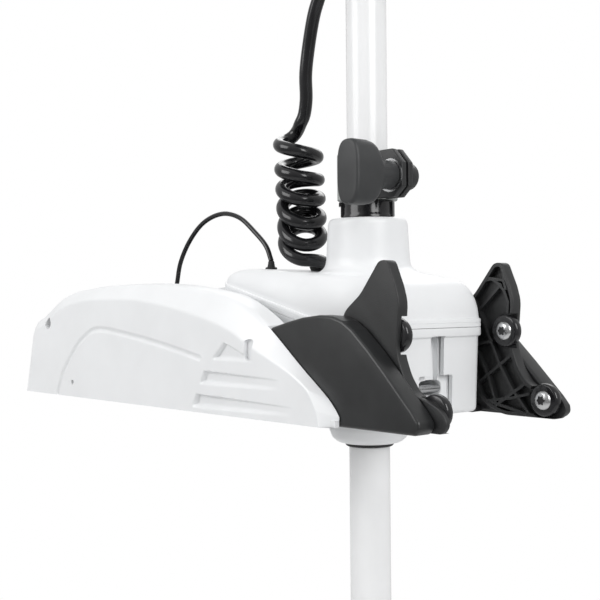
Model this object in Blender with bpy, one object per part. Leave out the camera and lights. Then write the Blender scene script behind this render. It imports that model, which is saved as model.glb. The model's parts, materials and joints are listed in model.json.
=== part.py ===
"""A bow-mount electric trolling motor, as an assembly of its separate pieces.

+X points forward over the bow, +Z up.  The origin is the middle of the deck face, on the underside
of the base plate.  Sizes are in millimetres and turned into metres by MM.  Every piece is drawn
around the vertical shaft (x = y = 0 there), and the whole assembly hangs on an empty that puts the
shaft SHAFT_FORWARD ahead of the origin.  Each moving piece has a parent empty on its joint's axis.
"""

from math import cos, hypot, pi, radians, sin, sqrt, tau

import bmesh
import bpy
from mathutils import Matrix, Vector

MM = 0.001
GAP = 0.3                 # room left between pieces that touch
SHAFT_FORWARD = 240.0     # shaft axis, ahead of the middle of the deck face

# shaft and drive line
SHAFT_RADIUS = 14.3       # 1-1/8 inch composite shaft
SHAFT_LENGTH = 1143.0     # 45 inches from the control head to the motor's axis
HEAD_BOTTOM = 315.0
MOTOR_Z = HEAD_BOTTOM - SHAFT_LENGTH
TUBE_RADIUS = 17.9        # output tube that turns the shaft
TUBE_BORE = 14.7

# base
PLATE_THICK = 4.0
PLATE_HALF = 79.0
ARM_HALF = 72.0           # plate half width inside the ramp covers
MOUTH_HALF = 51.6         # half width of the mouth that the housing swings in
MOUTH_BACK = -150.0
COVER_OUT = 85.0          # outer face of a side cover
COVER_IN = 60.0
RAMP_COVER_OUT = 75.0
RAMP_IN = 51.5
RAMP_OUT = 60.0

# stow hinge of the steering housing
PIVOT_X = -70.0
PIVOT_Z = 36.0
PIN_RADIUS = 5.0

# steering housing
HOUSING_FRONT = 64.5
HOUSING_BACK = -112.5
HOUSING_HALF = 48.3
WALL = 3.0
FLANGE_PROUD = 1.5
FLANGE_HIGH = 6.0
SEAM_Z = 61.0             # parting line at the front; it climbs behind the shaft
SEAM_CLIMB = 0.255
CROWN_Z = 97.0            # top of the dome beside the shaft, and its climb towards the back
CROWN_CLIMB = 0.055
NECK_TOP = 136.0
NECK_RADIUS = 28.2
CAP_RADIUS = 28.5

# worm drive
WHEEL_TEETH = 24
WHEEL_PITCH_RADIUS = 24.0
WORM_Y = 31.0
WORM_Z = 62.0

# depth collar; its clamp is drawn with the ears towards -Y, then turned so that they point forward
COLLAR_TURN = radians(90.0)
COLLAR_TOP = 181.5
CLAMP_LOW = 148.8
CLAMP_RADIUS = 21.2
BOLT_Y = -32.0
BOLT_Z = 163.5

# ramp rollers: two on each ramp, where the stowed motor comes to rest
ROLLER_RADIUS = 11.0
ROLLERS = {"upper": (79.3, 57.5), "lower": (111.0, 12.3)}

# motor and propeller
CAN_RADIUS = 46.0
CAN_WALL = 3.5
CAN_BACK = -150.0
CAN_FRONT = 118.0
MOTOR_SHAFT_RADIUS = 6.0
HUB_FRONT = -180.0
HUB_BACK = -236.0
BLADE_REACH = 128.0

# cords
COIL_X = -73.5
COIL_Y = 3.0
COIL_REACH = 14.1         # from the coil's axis to the middle of the cord
COIL_CORD = 9.9
THIN_CORD = 3.8
GLAND_X = -95.0
GLAND_Y = -10.0
DOME_TOP = 102.6


# ---------------------------------------------------------------- tools

def clear_scene():
    for item in list(bpy.data.objects):
        bpy.data.objects.remove(item, do_unlink=True)


def material(name, colour, roughness, metallic=0.0):
    made = bpy.data.materials.new(name)
    made.use_nodes = True
    made.diffuse_color = (*colour, 1.0)
    shader = made.node_tree.nodes["Principled BSDF"]
    shader.inputs["Base Color"].default_value = (*colour, 1.0)
    shader.inputs["Roughness"].default_value = roughness
    shader.inputs["Metallic"].default_value = metallic
    return made


def empty(name, place, parent=None):
    """An empty at a place given in millimetres around the shaft."""
    made = bpy.data.objects.new(name, None)
    made.empty_display_size = 0.02
    bpy.context.collection.objects.link(made)
    made["place"] = tuple(place)
    start = Vector(parent["place"]) if parent else Vector((0.0, 0.0, 0.0))
    made.parent = parent
    made.location = (Vector(place) - start) * MM
    return made


def piece(name, shape, finish, parent, at=(0.0, 0.0, 0.0), turn=0.0, smooth=35.0):
    """Link a shape, drawn in millimetres around the point at, as an object of the parent's body."""
    bmesh.ops.remove_doubles(shape, verts=shape.verts, dist=0.001)
    bmesh.ops.recalc_face_normals(shape, faces=shape.faces)
    bmesh.ops.scale(shape, vec=(MM, MM, MM), verts=shape.verts)
    mesh = bpy.data.meshes.new(name)
    shape.to_mesh(mesh)
    shape.free()
    mesh.shade_smooth()
    mesh.set_sharp_from_angle(angle=radians(smooth))
    mesh.materials.append(material(name, *finish))
    made = bpy.data.objects.new(name, mesh)
    bpy.context.collection.objects.link(made)
    made.parent = parent
    made.location = (Vector(at) - Vector(parent["place"])) * MM
    made.rotation_euler.z = turn
    return made


def combine(target, operation, name, shape, at=(0.0, 0.0, 0.0)):
    """Cut a shape out of the target, or join it on; the shape is drawn in the target's own frame."""
    bmesh.ops.remove_doubles(shape, verts=shape.verts, dist=0.001)
    bmesh.ops.recalc_face_normals(shape, faces=shape.faces)
    bmesh.ops.translate(shape, vec=at, verts=shape.verts)
    bmesh.ops.scale(shape, vec=(MM, MM, MM), verts=shape.verts)
    mesh = bpy.data.meshes.new(name)
    shape.to_mesh(mesh)
    shape.free()
    guide = bpy.data.objects.new(name, mesh)
    bpy.context.collection.objects.link(guide)
    guide.parent = target
    guide.hide_render = True
    guide.display_type = "WIRE"
    step = target.modifiers.new(name, "BOOLEAN")
    step.operation = operation
    step.solver = "EXACT"
    step.object = guide
    return guide


def arc(centre, radius, start, end, steps):
    """Points along an arc, angles in degrees."""
    turns = [radians(start + (end - start) * k / steps) for k in range(steps + 1)]
    return [(centre[0] + radius * cos(t), centre[1] + radius * sin(t)) for t in turns]


def filleted(outline, radius, steps=3):
    """The closed outline with each corner rounded, where its edges leave room."""
    rounded = []
    count = len(outline)
    for k in range(count):
        corner = Vector(outline[k])
        back = Vector(outline[k - 1]) - corner
        ahead = Vector(outline[(k + 1) % count]) - corner
        half_angle = back.angle(ahead) / 2
        if half_angle > radians(80.0):
            rounded.append(tuple(corner))
            continue
        reach = min(radius / (sin(half_angle) / cos(half_angle)), 0.45 * back.length, 0.45 * ahead.length)
        start = corner + back.normalized() * reach
        end = corner + ahead.normalized() * reach
        for j in range(steps + 1):
            t = j / steps
            rounded.append(tuple(start * (1 - t) ** 2 + corner * 2 * t * (1 - t) + end * t ** 2))
    return rounded


def on_axis(axis, a, b, along):
    """A point from its place on the outline's plane and its place along the axis."""
    return {"X": (along, a, b), "Y": (a, along, b), "Z": (a, b, along)}[axis]


def prism(outline, low, high, axis):
    """A closed outline, extruded along an axis from low to high."""
    shape = bmesh.new()
    bottom = [shape.verts.new(on_axis(axis, a, b, low)) for a, b in outline]
    face = shape.faces.new(bottom)
    made = bmesh.ops.extrude_face_region(shape, geom=[face])
    moved = [item for item in made["geom"] if isinstance(item, bmesh.types.BMVert)]
    bmesh.ops.translate(shape, verts=moved, vec=Vector(on_axis(axis, 0.0, 0.0, high - low)))
    return shape


def block(low, high):
    """A box from its lowest corner to its highest."""
    outline = [(low[0], low[1]), (high[0], low[1]), (high[0], high[1]), (low[0], high[1])]
    return prism(outline, low[2], high[2], "Z")


def turned(profile, axis="Z", centre=(0.0, 0.0, 0.0), steps=32):
    """A closed profile of (radius, along) points, spun round the axis through the centre."""
    shape = bmesh.new()
    verts = [shape.verts.new((radius, 0.0, along)) for radius, along in profile]
    edges = [shape.edges.new((verts[k - 1], verts[k])) for k in range(len(verts))]
    bmesh.ops.spin(shape, geom=verts + edges, cent=(0, 0, 0), axis=(0, 0, 1), angle=tau, steps=steps)
    bmesh.ops.remove_doubles(shape, verts=shape.verts, dist=0.001)
    loose = [edge for edge in shape.edges if not edge.link_faces]
    bmesh.ops.delete(shape, geom=loose, context="EDGES")
    turn = {"X": Matrix.Rotation(pi / 2, 4, "Y"), "Y": Matrix.Rotation(-pi / 2, 4, "X"), "Z": Matrix()}[axis]
    bmesh.ops.transform(shape, matrix=Matrix.Translation(centre) @ turn, verts=shape.verts)
    return shape


def rod(radius, low, high, axis="Z", centre=(0.0, 0.0, 0.0), steps=16):
    return turned([(0, low), (radius, low), (radius, high), (0, high)], axis, centre, steps)


def ring(inner, outer, low, high, axis="Z", centre=(0.0, 0.0, 0.0), steps=32):
    profile = [(inner, low), (outer, low), (outer, high), (inner, high)]
    return turned(profile, axis, centre, steps)


def loft(rings, closed):
    """Rings of equal count joined by faces; closed joins the last to the first, else both are capped."""
    shape = bmesh.new()
    rows = [[shape.verts.new(point) for point in points] for points in rings]
    count = len(rows[0])
    pairs = list(zip(rows, rows[1:]))
    if closed:
        pairs.append((rows[-1], rows[0]))
    for lower, upper in pairs:
        for k in range(count):
            shape.faces.new((lower[k - 1], lower[k], upper[k], upper[k - 1]))
    if not closed:
        shape.faces.new(rows[0])
        shape.faces.new(rows[-1])
    return shape


def through(points, spacing):
    """A smooth curve through the points, read off about every spacing millimetres."""
    places = [Vector(p) for p in points]
    places = [places[0] * 2 - places[1]] + places + [places[-1] * 2 - places[-2]]
    curve = []
    for a, b, c, d in zip(places, places[1:], places[2:], places[3:]):
        steps = max(1, round((c - b).length / spacing))
        for k in range(steps):
            t = k / steps
            curve.append(0.5 * (2 * b + (c - a) * t + (2 * a - 5 * b + 4 * c - d) * t * t
                                + (3 * b - a - 3 * c + d) * t ** 3))
    curve.append(places[-2])
    return curve


def cord(name, points, diameter, finish, parent, rounds):
    """A cord as a bevelled curve along a smooth route."""
    curve = bpy.data.curves.new(name, "CURVE")
    curve.dimensions = "3D"
    curve.bevel_depth = diameter / 2 * MM
    curve.bevel_resolution = rounds
    curve.use_fill_caps = True
    route = through(points, diameter * 2.5)
    spline = curve.splines.new("POLY")
    spline.points.add(len(route) - 1)
    for point, place in zip(spline.points, route):
        point.co = (*((place - Vector(parent["place"])) * MM), 1.0)
    curve.materials.append(material(name, *finish))
    made = bpy.data.objects.new(name, curve)
    bpy.context.collection.objects.link(made)
    made.parent = parent
    return made


# ---------------------------------------------------------------- finishes: colour, roughness, metallic

WHITE = ((0.86, 0.87, 0.87), 0.35)
SHAFT_WHITE = ((0.88, 0.88, 0.87), 0.22)
BLACK = ((0.035, 0.036, 0.038), 0.55)
GLOSS_BLACK = ((0.02, 0.02, 0.022), 0.25)
RUBBER = ((0.03, 0.03, 0.03), 0.8)
CLAMP_GREY = ((0.25, 0.25, 0.26), 0.45)
BLACK_COAT = ((0.03, 0.03, 0.032), 0.45, 0.3)
ALUMINIUM = ((0.62, 0.63, 0.65), 0.4, 1.0)
STEEL = ((0.6, 0.6, 0.61), 0.25, 1.0)
BRONZE = ((0.55, 0.38, 0.2), 0.4, 1.0)
COPPER = ((0.72, 0.36, 0.2), 0.35, 1.0)
NYLON = ((0.75, 0.73, 0.66), 0.5)
FERRITE = ((0.1, 0.1, 0.11), 0.6)
BOARD = ((0.03, 0.2, 0.08), 0.5)
LENS = ((0.1, 0.1, 0.12), 0.1)

SIDES = {"right": -1, "left": 1}


def span(side, near, far):
    """The low and high Y of a piece that reaches from near to far out on one side."""
    return (near, far) if side > 0 else (-far, -near)


# ---------------------------------------------------------------- base

COVER_EDGE = [
    (-352, 0), (-351, 55), (-329, 68), (-300, 82), (-275, 88), (-229, 92), (-165, 92.5), (-115, 90),
    (-65, 83), (-40, 74), (-18, 61.5), (15, 36), (40, 17.5), (50, 6.5), (50, 0),
]
COVER_CREASE = [
    (-350, 0), (-337, 50), (-312, 62), (-290, 73), (-268, 78), (-235, 81), (-176, 81), (-125, 75.5),
    (-75, 66), (-48, 58), (-25.5, 48), (11, 34), (30, 23), (38.5, 10), (41, 0),
]
COVER_WALL = 2.6
NOSE_X = -20.0            # ahead of this the side cover wraps the ramp cover
BEVEL_WIDE = 9.0


def base_plate(body):
    """A U-shaped aluminium plate, its mouth open to the front, with holes for deck bolts."""
    half = [
        (-335, 0), (-335, PLATE_HALF), (-24, PLATE_HALF), (-24, ARM_HALF), (104, ARM_HALF),
        (104, RAMP_OUT + 1), (50, RAMP_OUT + 1), (50, MOUTH_HALF), (MOUTH_BACK, MOUTH_HALF), (MOUTH_BACK, 0),
    ]
    outline = half[1:-1] + [(x, -y) for x, y in reversed(half[1:-1])]
    made = piece("base_plate", prism(outline, 0, PLATE_THICK, "Z"), BLACK_COAT, body)
    for k, x in enumerate((-310, -240, -170)):
        for name, side in SIDES.items():
            hole = rod(3.5, -1, PLATE_THICK + 1, centre=(x, side * 35, 0), steps=12)
            combine(made, "DIFFERENCE", f"deck_hole_{name}_{k}", hole)


def side_cover(body, name, side):
    """A moulded shell over one side of the base: outer wall, sloping band, top and inner wall."""
    depths = [(COVER_OUT, COVER_CREASE), (COVER_OUT - BEVEL_WIDE, COVER_EDGE), (COVER_IN, COVER_EDGE)]
    rings = [[(x, side * y, z) for x, z in outline] for y, outline in depths]
    made = piece(f"side_cover_{name}", loft(rings, False), WHITE, body)
    hollow = [
        (-345, -5), (-332, 47), (-308, 58.5), (-287, 69.5), (-266, 74.5), (-235, 77), (-176, 77), (-126, 71.5),
        (-76, 62), (-49, 54), (-28, 44.5), (9, 30), (26, 20.5), (33, 8), (34, -5),
    ]
    low, high = span(side, COVER_IN + COVER_WALL, COVER_OUT - 2.8)
    combine(made, "DIFFERENCE", f"side_cover_hollow_{name}", prism(hollow, low, high, "Y"))
    low, high = span(side, COVER_IN - 5, RAMP_COVER_OUT + 0.4)
    combine(made, "DIFFERENCE", f"side_cover_nose_{name}", block((NOSE_X, low, -5), (80, high, 95)))
    low, high = span(side, COVER_IN - 5, PLATE_HALF + 0.5)
    combine(made, "DIFFERENCE", f"side_cover_foot_{name}", block((-337, low, -5), (NOSE_X, high, PLATE_THICK + GAP)))


RAMP_COVER_EDGE = [
    (-19, 0), (-19, 61), (13, 68), (42, 70), (60, 61), (86, 36), (110, 13), (117, 6), (113, 0),
]


def ramp_cover(body, name, side):
    """A black shell outside the ramp, over the arm of the base plate."""
    outline = RAMP_COVER_EDGE[:1] + filleted(RAMP_COVER_EDGE, 6)[8:-4] + RAMP_COVER_EDGE[-1:]
    outline.insert(1, RAMP_COVER_EDGE[1])
    low, high = span(side, RAMP_OUT + 0.6, RAMP_COVER_OUT)
    made = piece(f"ramp_cover_{name}", prism(outline, low, high, "Y"), BLACK, body)
    hollow = [(-24, -2), (-24, 57.3), (14, 65.3), (41, 67.2), (58.5, 58.7), (84, 34), (108, 10), (108, -2)]
    low, high = span(side, RAMP_OUT - 2, RAMP_COVER_OUT - 2.6)
    combine(made, "DIFFERENCE", f"ramp_cover_hollow_{name}", prism(hollow, low, high, "Y"))


RAMP_EDGE = [
    (57, 9), (34, 69), (53, 83), (70, 104), (77, 104), (84, 88), (87, 78), (86, 66), (84, 48),
    (90, 33), (98, 22), (110, 19), (121, 14), (125, 6), (121, 0.3), (76, 0.3),
]
RAMP_POCKETS = [
    [(58, 81), (72, 99), (76, 97), (82, 84), (81, 74), (66, 72)],
    [(42, 66), (54, 75), (60, 70), (66, 66), (66, 56), (50, 53)],
    [(52, 47), (65, 51), (76, 40), (62, 30)],
    [(61, 24), (77, 36), (85, 30), (80, 16), (64, 14)],
    [(84, 14), (88, 25), (97, 14), (96, 5), (84, 5)],
]


def ramp(body, name, side):
    """An upright ribbed fin that the stowed motor lies against: a plate with ribs on its inner side."""
    low, high = span(side, RAMP_IN, RAMP_OUT)
    made = piece(f"ramp_{name}", prism(filleted(RAMP_EDGE, 4), low, high, "Y"), BLACK, body)
    low, high = span(side, RAMP_IN - 2, RAMP_OUT - 3)
    for k, pocket in enumerate(RAMP_POCKETS):
        combine(made, "DIFFERENCE", f"ramp_pocket_{name}_{k}", prism(filleted(pocket, 2, 2), low, high, "Y"))
    for key, (x, z) in ROLLERS.items():
        seat = filleted([(x - 11.8, z - 11.8), (x + 20, z - 11.8), (x + 20, z + 11.8), (x - 11.8, z + 11.8)], 11)
        combine(made, "DIFFERENCE", f"{key}_roller_seat_{name}", prism(seat, low, high, "Y"))
        bore = rod(3.3, RAMP_IN - 5, RAMP_OUT + 5, "Y", (x, 0, z), 12)
        bmesh.ops.scale(bore, vec=(1, side, 1), verts=bore.verts)
        combine(made, "DIFFERENCE", f"{key}_roller_bore_{name}", bore)


def roller(bodies, base, key, name, side):
    """A wheel on the front edge of a ramp, and the pan-head screw that it turns on."""
    x, z = ROLLERS[key]
    axle = (x, side * 54.0, z)
    wheel = ring(3.3, ROLLER_RADIUS, -3.6, 2.6, "Y", steps=24)
    bmesh.ops.scale(wheel, vec=(1, side, 1), verts=wheel.verts)
    piece(f"{key}_roller_{name}", wheel, GLOSS_BLACK, bodies[f"{key}_roller_{name}"], axle)
    screw = turned([(0, -6.4), (4.6, -6.0), (6.4, -4.4), (6.4, -3.9), (3.0, -3.9), (3.0, 5.6), (0, 5.6)], "Y", steps=16)
    bmesh.ops.scale(screw, vec=(1, side, 1), verts=screw.verts)
    piece(f"{key}_roller_screw_{name}", screw, STEEL, base, axle)


def hinge_side(body, name, side):
    """The bracket that stands on the base plate beside the mouth, and the pin of the stow hinge."""
    outline = filleted([(-98, 4.3), (-42, 4.3), (-58, 50), (-82, 50)], 9)
    low, high = span(side, 52.2, 58.0)
    bracket = piece(f"hinge_bracket_{name}", prism(outline, low, high, "Y"), ALUMINIUM, body)
    bore = rod(PIN_RADIUS + GAP, *span(side, 50, 62), "Y", (PIVOT_X, 0, PIVOT_Z))
    combine(bracket, "DIFFERENCE", f"hinge_bore_{name}", bore)
    profile = [(0, 41.5), (PIN_RADIUS, 41.5), (PIN_RADIUS, 58.3), (7.5, 58.3), (7.5, 59.7), (0, 59.7)]
    pin = turned(profile, "Y", steps=16)
    bmesh.ops.scale(pin, vec=(1, side, 1), verts=pin.verts)
    piece(f"hinge_pin_{name}", pin, STEEL, body, (PIVOT_X, 0, PIVOT_Z))


def rear_end_cap(body):
    outline = filleted([(-59.5, 4.3), (59.5, 4.3), (59.5, 26), (-59.5, 26)], 5)
    made = piece("rear_end_cap", prism(outline, -343, -331, "X"), BLACK, body)
    combine(made, "DIFFERENCE", "rear_end_hollow", block((-340, -56, -1), (-330, 56, 23)))


# ---------------------------------------------------------------- steering housing

def seam(x):
    """Height of the parting line: level in front of the shaft, climbing behind it."""
    return SEAM_Z + max(0.0, -x) * SEAM_CLIMB


def housing_outline(front, back, half, front_corner=10.0, back_corner=18.0):
    """The housing from above: squared ends with round corners, the same count of points each time."""
    edge = [(front, 9.0), (front, 24.0)]
    edge += arc((front - front_corner, half - front_corner), front_corner, 0, 90, 3)
    side_start = front - front_corner
    side_length = side_start - back - back_corner
    edge += [(side_start - side_length * share, half) for share in (0.16, 0.28, 0.4, 0.53, 0.68, 0.84)]
    edge += arc((back + back_corner, half - back_corner), back_corner, 90, 180, 3)
    edge += [(back, 20.0), (back, 7.0)]
    return edge + [(x, -y) for x, y in reversed(edge)]


def grown_outline(proud, back=HOUSING_BACK):
    return housing_outline(HOUSING_FRONT + proud, back - proud, HOUSING_HALF + proud,
                           10.0 + proud, 18.0 + proud)


def level(outline, height):
    """The outline as a ring in space, its height a number or a function of x."""
    return [(x, y, height(x) if callable(height) else height) for x, y in outline]


def crown(x):
    """Top of the dome, a little higher at the back."""
    return CROWN_Z - CROWN_CLIMB * x


def dome_ring(inset, share, sink):
    """One ring of the dome: set in from the edge towards the neck, and raised on a round shoulder."""
    points = []
    for x, y in grown_outline(0.0 if sink == 0 else -WALL):
        reach = hypot(x, y)
        way = reach - 32.0
        step = min(inset, way * share)
        shoulder = min(20.0, way)
        rise = sqrt(max(0.0, 1.0 - (1.0 - min(1.0, step / shoulder)) ** 2))
        low = seam(x) + FLANGE_HIGH + 0.2 - sink
        high = crown(x) - sink
        keep = (reach - step) / reach
        points.append((x * keep, y * keep, low + (high - low) * rise))
    return points


def neck_ring(radius, height):
    """A round ring with the outline's count of points, each in the direction of its own point."""
    outline = grown_outline(0.0)
    return [(x * radius / hypot(x, y), y * radius / hypot(x, y), height) for x, y in outline]


def housing_cover(body):
    """The dome and neck in one moulded shell, with a flange along its lower edge."""
    dome = [(0.8, 0.05), (3.5, 0.2), (9.0, 0.5), (18.0, 0.85)]
    rings = [
        level(grown_outline(FLANGE_PROUD), lambda x: seam(x) + 0.5),
        level(grown_outline(FLANGE_PROUD), lambda x: seam(x) + FLANGE_HIGH),
        level(grown_outline(0.0), lambda x: seam(x) + FLANGE_HIGH + 0.2),
    ]
    rings += [dome_ring(inset, share, 0.0) for inset, share in dome]
    rings += [neck_ring(radius, height) for radius, height in (
        (33.5, 99.5), (30.2, 103.5), (29.2, 110), (NECK_RADIUS, 130), (27.0, 134.8), (25.4, NECK_TOP),
        (15.0, NECK_TOP), (15.0, 131.5), (25.2, 131.5), (28.5, 98))]
    rings += [dome_ring(inset, share, WALL) for inset, share in reversed(dome[1:])]
    rings += [
        level(grown_outline(-WALL), lambda x: seam(x) + FLANGE_HIGH - WALL),
        level(grown_outline(-WALL), lambda x: seam(x) + 0.5),
    ]
    made = piece("housing_cover", loft(rings, True), WHITE, body)
    combine(made, "DIFFERENCE", "neck_bore", rod(20.0, 128, 140, steps=32))


def housing_gasket(body):
    rings = [
        level(grown_outline(0.2), lambda x: seam(x) - 0.3),
        level(grown_outline(0.2), lambda x: seam(x) + 0.3),
        level(grown_outline(-WALL), lambda x: seam(x) + 0.3),
        level(grown_outline(-WALL), lambda x: seam(x) - 0.3),
    ]
    piece("housing_gasket", loft(rings, True), RUBBER, body)


CASE_LEVELS = [(46, -101), (30, -93), (17, -82), (8, -71), (3.4, -64)]


def housing_case(body):
    """The lower half: an open-topped shell whose back tucks under, so that it can swing into the base."""
    rings = [
        level(grown_outline(-WALL), lambda x: seam(x) - 0.5),
        level(grown_outline(FLANGE_PROUD), lambda x: seam(x) - 0.5),
        level(grown_outline(FLANGE_PROUD), lambda x: seam(x) - FLANGE_HIGH),
        level(grown_outline(-0.2, HOUSING_BACK + 2), lambda x: seam(x) - FLANGE_HIGH - 0.2),
    ]
    for height, back in CASE_LEVELS:
        tuck = 0.2 + (SEAM_Z - height) * 0.035 + (2.0 if height < 5 else 0.0)
        rings.append(level(grown_outline(-tuck, back), height))
    rings += [level(grown_outline(-6, -58), 2.0), neck_ring(14.0, 2.0), neck_ring(14.0, 5.2)]
    rings.append(level(grown_outline(-8, -56), 5.2))
    for height, back in reversed(CASE_LEVELS[:-1]):
        tuck = WALL + 0.2 + (SEAM_Z - height) * 0.035
        rings.append(level(grown_outline(-tuck, back + WALL), max(height, 6.5)))
    made = piece("housing_case", loft(rings, True), WHITE, body)
    combine(made, "DIFFERENCE", "case_bore", rod(18.6, -2, 9, steps=32))
    combine(made, "DIFFERENCE", "rope_channel", block((55, -6.3, 20), (80, 6.3, 52.6)))
    combine(made, "DIFFERENCE", "rope_pocket", block((55, -17, 6.5), (80, 17, 29)))
    bore = rod(PIN_RADIUS + GAP, -60, 60, "Y", (PIVOT_X, 0, PIVOT_Z))
    combine(made, "DIFFERENCE", "case_pin_bore", bore)


def rope_pocket(body):
    """The liner behind the front opening, and the bar across it that the stow rope ties to."""
    made = piece("rope_guide", block((38, -19.5, 7.6), (58.6, 19.5, 55.5)), WHITE, body)
    combine(made, "DIFFERENCE", "guide_channel", block((42, -6.3, 20), (80, 6.3, 52.6)))
    combine(made, "DIFFERENCE", "guide_pocket", block((42, -17, 9.2), (80, 17, 29)))
    piece("rope_bar", rod(2.6, -16.6, 16.6, "Y", steps=12), STEEL, body, (55, 0, 20))


def lower_bearing(body):
    profile = [(18.5, 1.7), (CAP_RADIUS, 1.7), (CAP_RADIUS, -10), (27, -15), (23.5, -19), (19.5, -20.6), (18.5, -20.6)]
    piece("bottom_bearing_cap", turned(profile), WHITE, body)
    profile = [(14.7, -21.0), (17.2, -21.0), (16.4, -23.0), (14.7, -23.0)]
    piece("shaft_seal_ring", turned(profile), RUBBER, body)


def upper_bearing(body):
    piece("upper_bush", ring(TUBE_RADIUS + 0.1, 19.7, 112, 135.6), BRONZE, body)


def steering_motor(body):
    """The small motor that drives the worm, lying along the housing's left side."""
    profile = [(0, -90), (11, -90), (12.4, -88), (12.4, -34), (11, -32), (7, -32), (7, -28.5), (0, -28.5)]
    piece("steering_motor", turned(profile, "X", steps=20), STEEL, body, (0, WORM_Y, WORM_Z))


def cord_exits(body):
    """The tapered strain reliefs on the dome for the curly cord and the thin cable."""
    profile = [(0, 0), (7.5, 0), (7.5, 1.2), (5.6, 1.6), (5.0, 3.0), (0, 3.0)]
    piece("coil_cord_gland", turned(profile, steps=16), RUBBER, body, (COIL_X, COIL_Y + COIL_REACH, DOME_TOP))
    profile = [(0, 0), (4.5, 0), (4.5, 1.0), (3.2, 1.4), (2.6, 5.0), (0, 5.0)]
    piece("cable_gland", turned(profile, steps=12), RUBBER, body, (GLAND_X, GLAND_Y, DOME_TOP + 1.0))


# ---------------------------------------------------------------- steering drive and depth collar

def output_tube(body):
    profile = [(TUBE_BORE, -18), (TUBE_RADIUS, -18), (TUBE_RADIUS, 136.4), (TUBE_BORE, 136.4)]
    piece("output_tube", turned(profile), STEEL, body)


def worm_wheel(body):
    """A bronze wheel with straight teeth, a gap between teeth facing the worm."""
    outline = []
    for k in range(WHEEL_TEETH):
        middle = pi / 2 + tau * (k + 0.5) / WHEEL_TEETH
        for radius, share in ((21.4, -0.34), (26.0, -0.14), (26.0, 0.14), (21.4, 0.34)):
            turn = middle + share * tau / WHEEL_TEETH
            outline.append((radius * cos(turn), radius * sin(turn)))
    made = piece("worm_wheel", prism(outline, WORM_Z - 4, WORM_Z + 4, "Z"), BRONZE, body)
    combine(made, "DIFFERENCE", "wheel_bore", rod(TUBE_RADIUS + 0.1, 50, 75, steps=32))


def worm_shaft(body):
    """A single-start right-hand worm on its shaft."""
    lead = tau * WHEEL_PITCH_RADIUS / WHEEL_TEETH
    profile = [(0, -27.5), (2.5, -27.5), (2.5, -15), (4.7, -14), (4.7, 14), (2.5, 15), (2.5, 24), (0, 24)]
    made = piece("worm_shaft", turned(profile, "X", steps=16), STEEL, body, (0, WORM_Y, WORM_Z))
    rings = []
    turns = 3.5
    steps = 10
    for k in range(int(turns * steps) + 1):
        turn = tau * (k / steps - turns / 2)
        middle = lead * turn / tau
        section = [(4.3, -1.1), (9.0, -0.45), (9.0, 0.45), (4.3, 1.1)]
        rings.append([(middle + s, -r * cos(turn), -r * sin(turn)) for r, s in section])
    combine(made, "UNION", "worm_thread", loft(rings, False))


def depth_collar(body):
    """The sleeve, the split clamp with its two ears, and the nut on the far ear."""
    profile = [(TUBE_BORE, 136.7), (18.2, 136.7), (17.4, 140), (17.4, COLLAR_TOP), (TUBE_BORE, COLLAR_TOP)]
    piece("depth_collar", turned(profile), GLOSS_BLACK, body, turn=COLLAR_TURN)
    clamp = piece("collar_clamp", ring(17.7, CLAMP_RADIUS, CLAMP_LOW, COLLAR_TOP), CLAMP_GREY, body, turn=COLLAR_TURN)
    ears = [(-12, CLAMP_LOW), (-35, CLAMP_LOW), (-43, 155.5), (-43, 171.5), (-34, COLLAR_TOP), (-12, COLLAR_TOP)]
    combine(clamp, "UNION", "clamp_ears", prism(ears, -10.0, 1.0, "X"))
    combine(clamp, "DIFFERENCE", "clamp_bore", rod(17.7, CLAMP_LOW - 1, COLLAR_TOP + 1, steps=32))
    combine(clamp, "DIFFERENCE", "clamp_slit", block((-5.5, -60, 140), (-3.5, 0, 190)))
    bore = rod(3.3, -15, 5, "X", (0, BOLT_Y, BOLT_Z), 12)
    combine(clamp, "DIFFERENCE", "clamp_bolt_bore", bore)
    nut = ring(3.3, 9.3, 1.3, 9.5, "X", (0, BOLT_Y, BOLT_Z), 20)
    piece("collar_nut", nut, BLACK, body, turn=COLLAR_TURN)


def collar_knob(body):
    """The oval knob with its stem and bolt, drawn around the bolt's axis."""
    paddle = [(10.4 * cos(tau * k / 20), 21.5 * sin(tau * k / 20)) for k in range(20)]
    made = piece("collar_knob", prism(paddle, -50.5, -34, "X"), BLACK, body, body["place"], COLLAR_TURN)
    profile = [(0, -36), (9.7, -36), (9.7, -10.3), (3.0, -10.3), (3.0, 8), (0, 8)]
    combine(made, "UNION", "knob_stem", turned(profile, "X", steps=20))


# ---------------------------------------------------------------- shaft, control head

def shaft_tube(body):
    piece("shaft_tube", ring(11.8, SHAFT_RADIUS, MOTOR_Z + 52, HEAD_BOTTOM + 22), SHAFT_WHITE, body)


def head_outline(grow):
    """The control head from above: a rounded arrow shape that points forward."""
    half = [(66, 0), (62, 17), (48, 33), (22, 46), (-10, 50), (-36, 46), (-51, 32), (-56, 0)]
    points = [(x, y) for x, y in half] + [(x, -y) for x, y in reversed(half[1:-1])]
    smooth = through([(x, y, 0) for x, y in points + points[:1]], 14)[:-1]
    return [((1 + grow / 52) * p.x, (1 + grow / 52) * p.y) for p in smooth]


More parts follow.
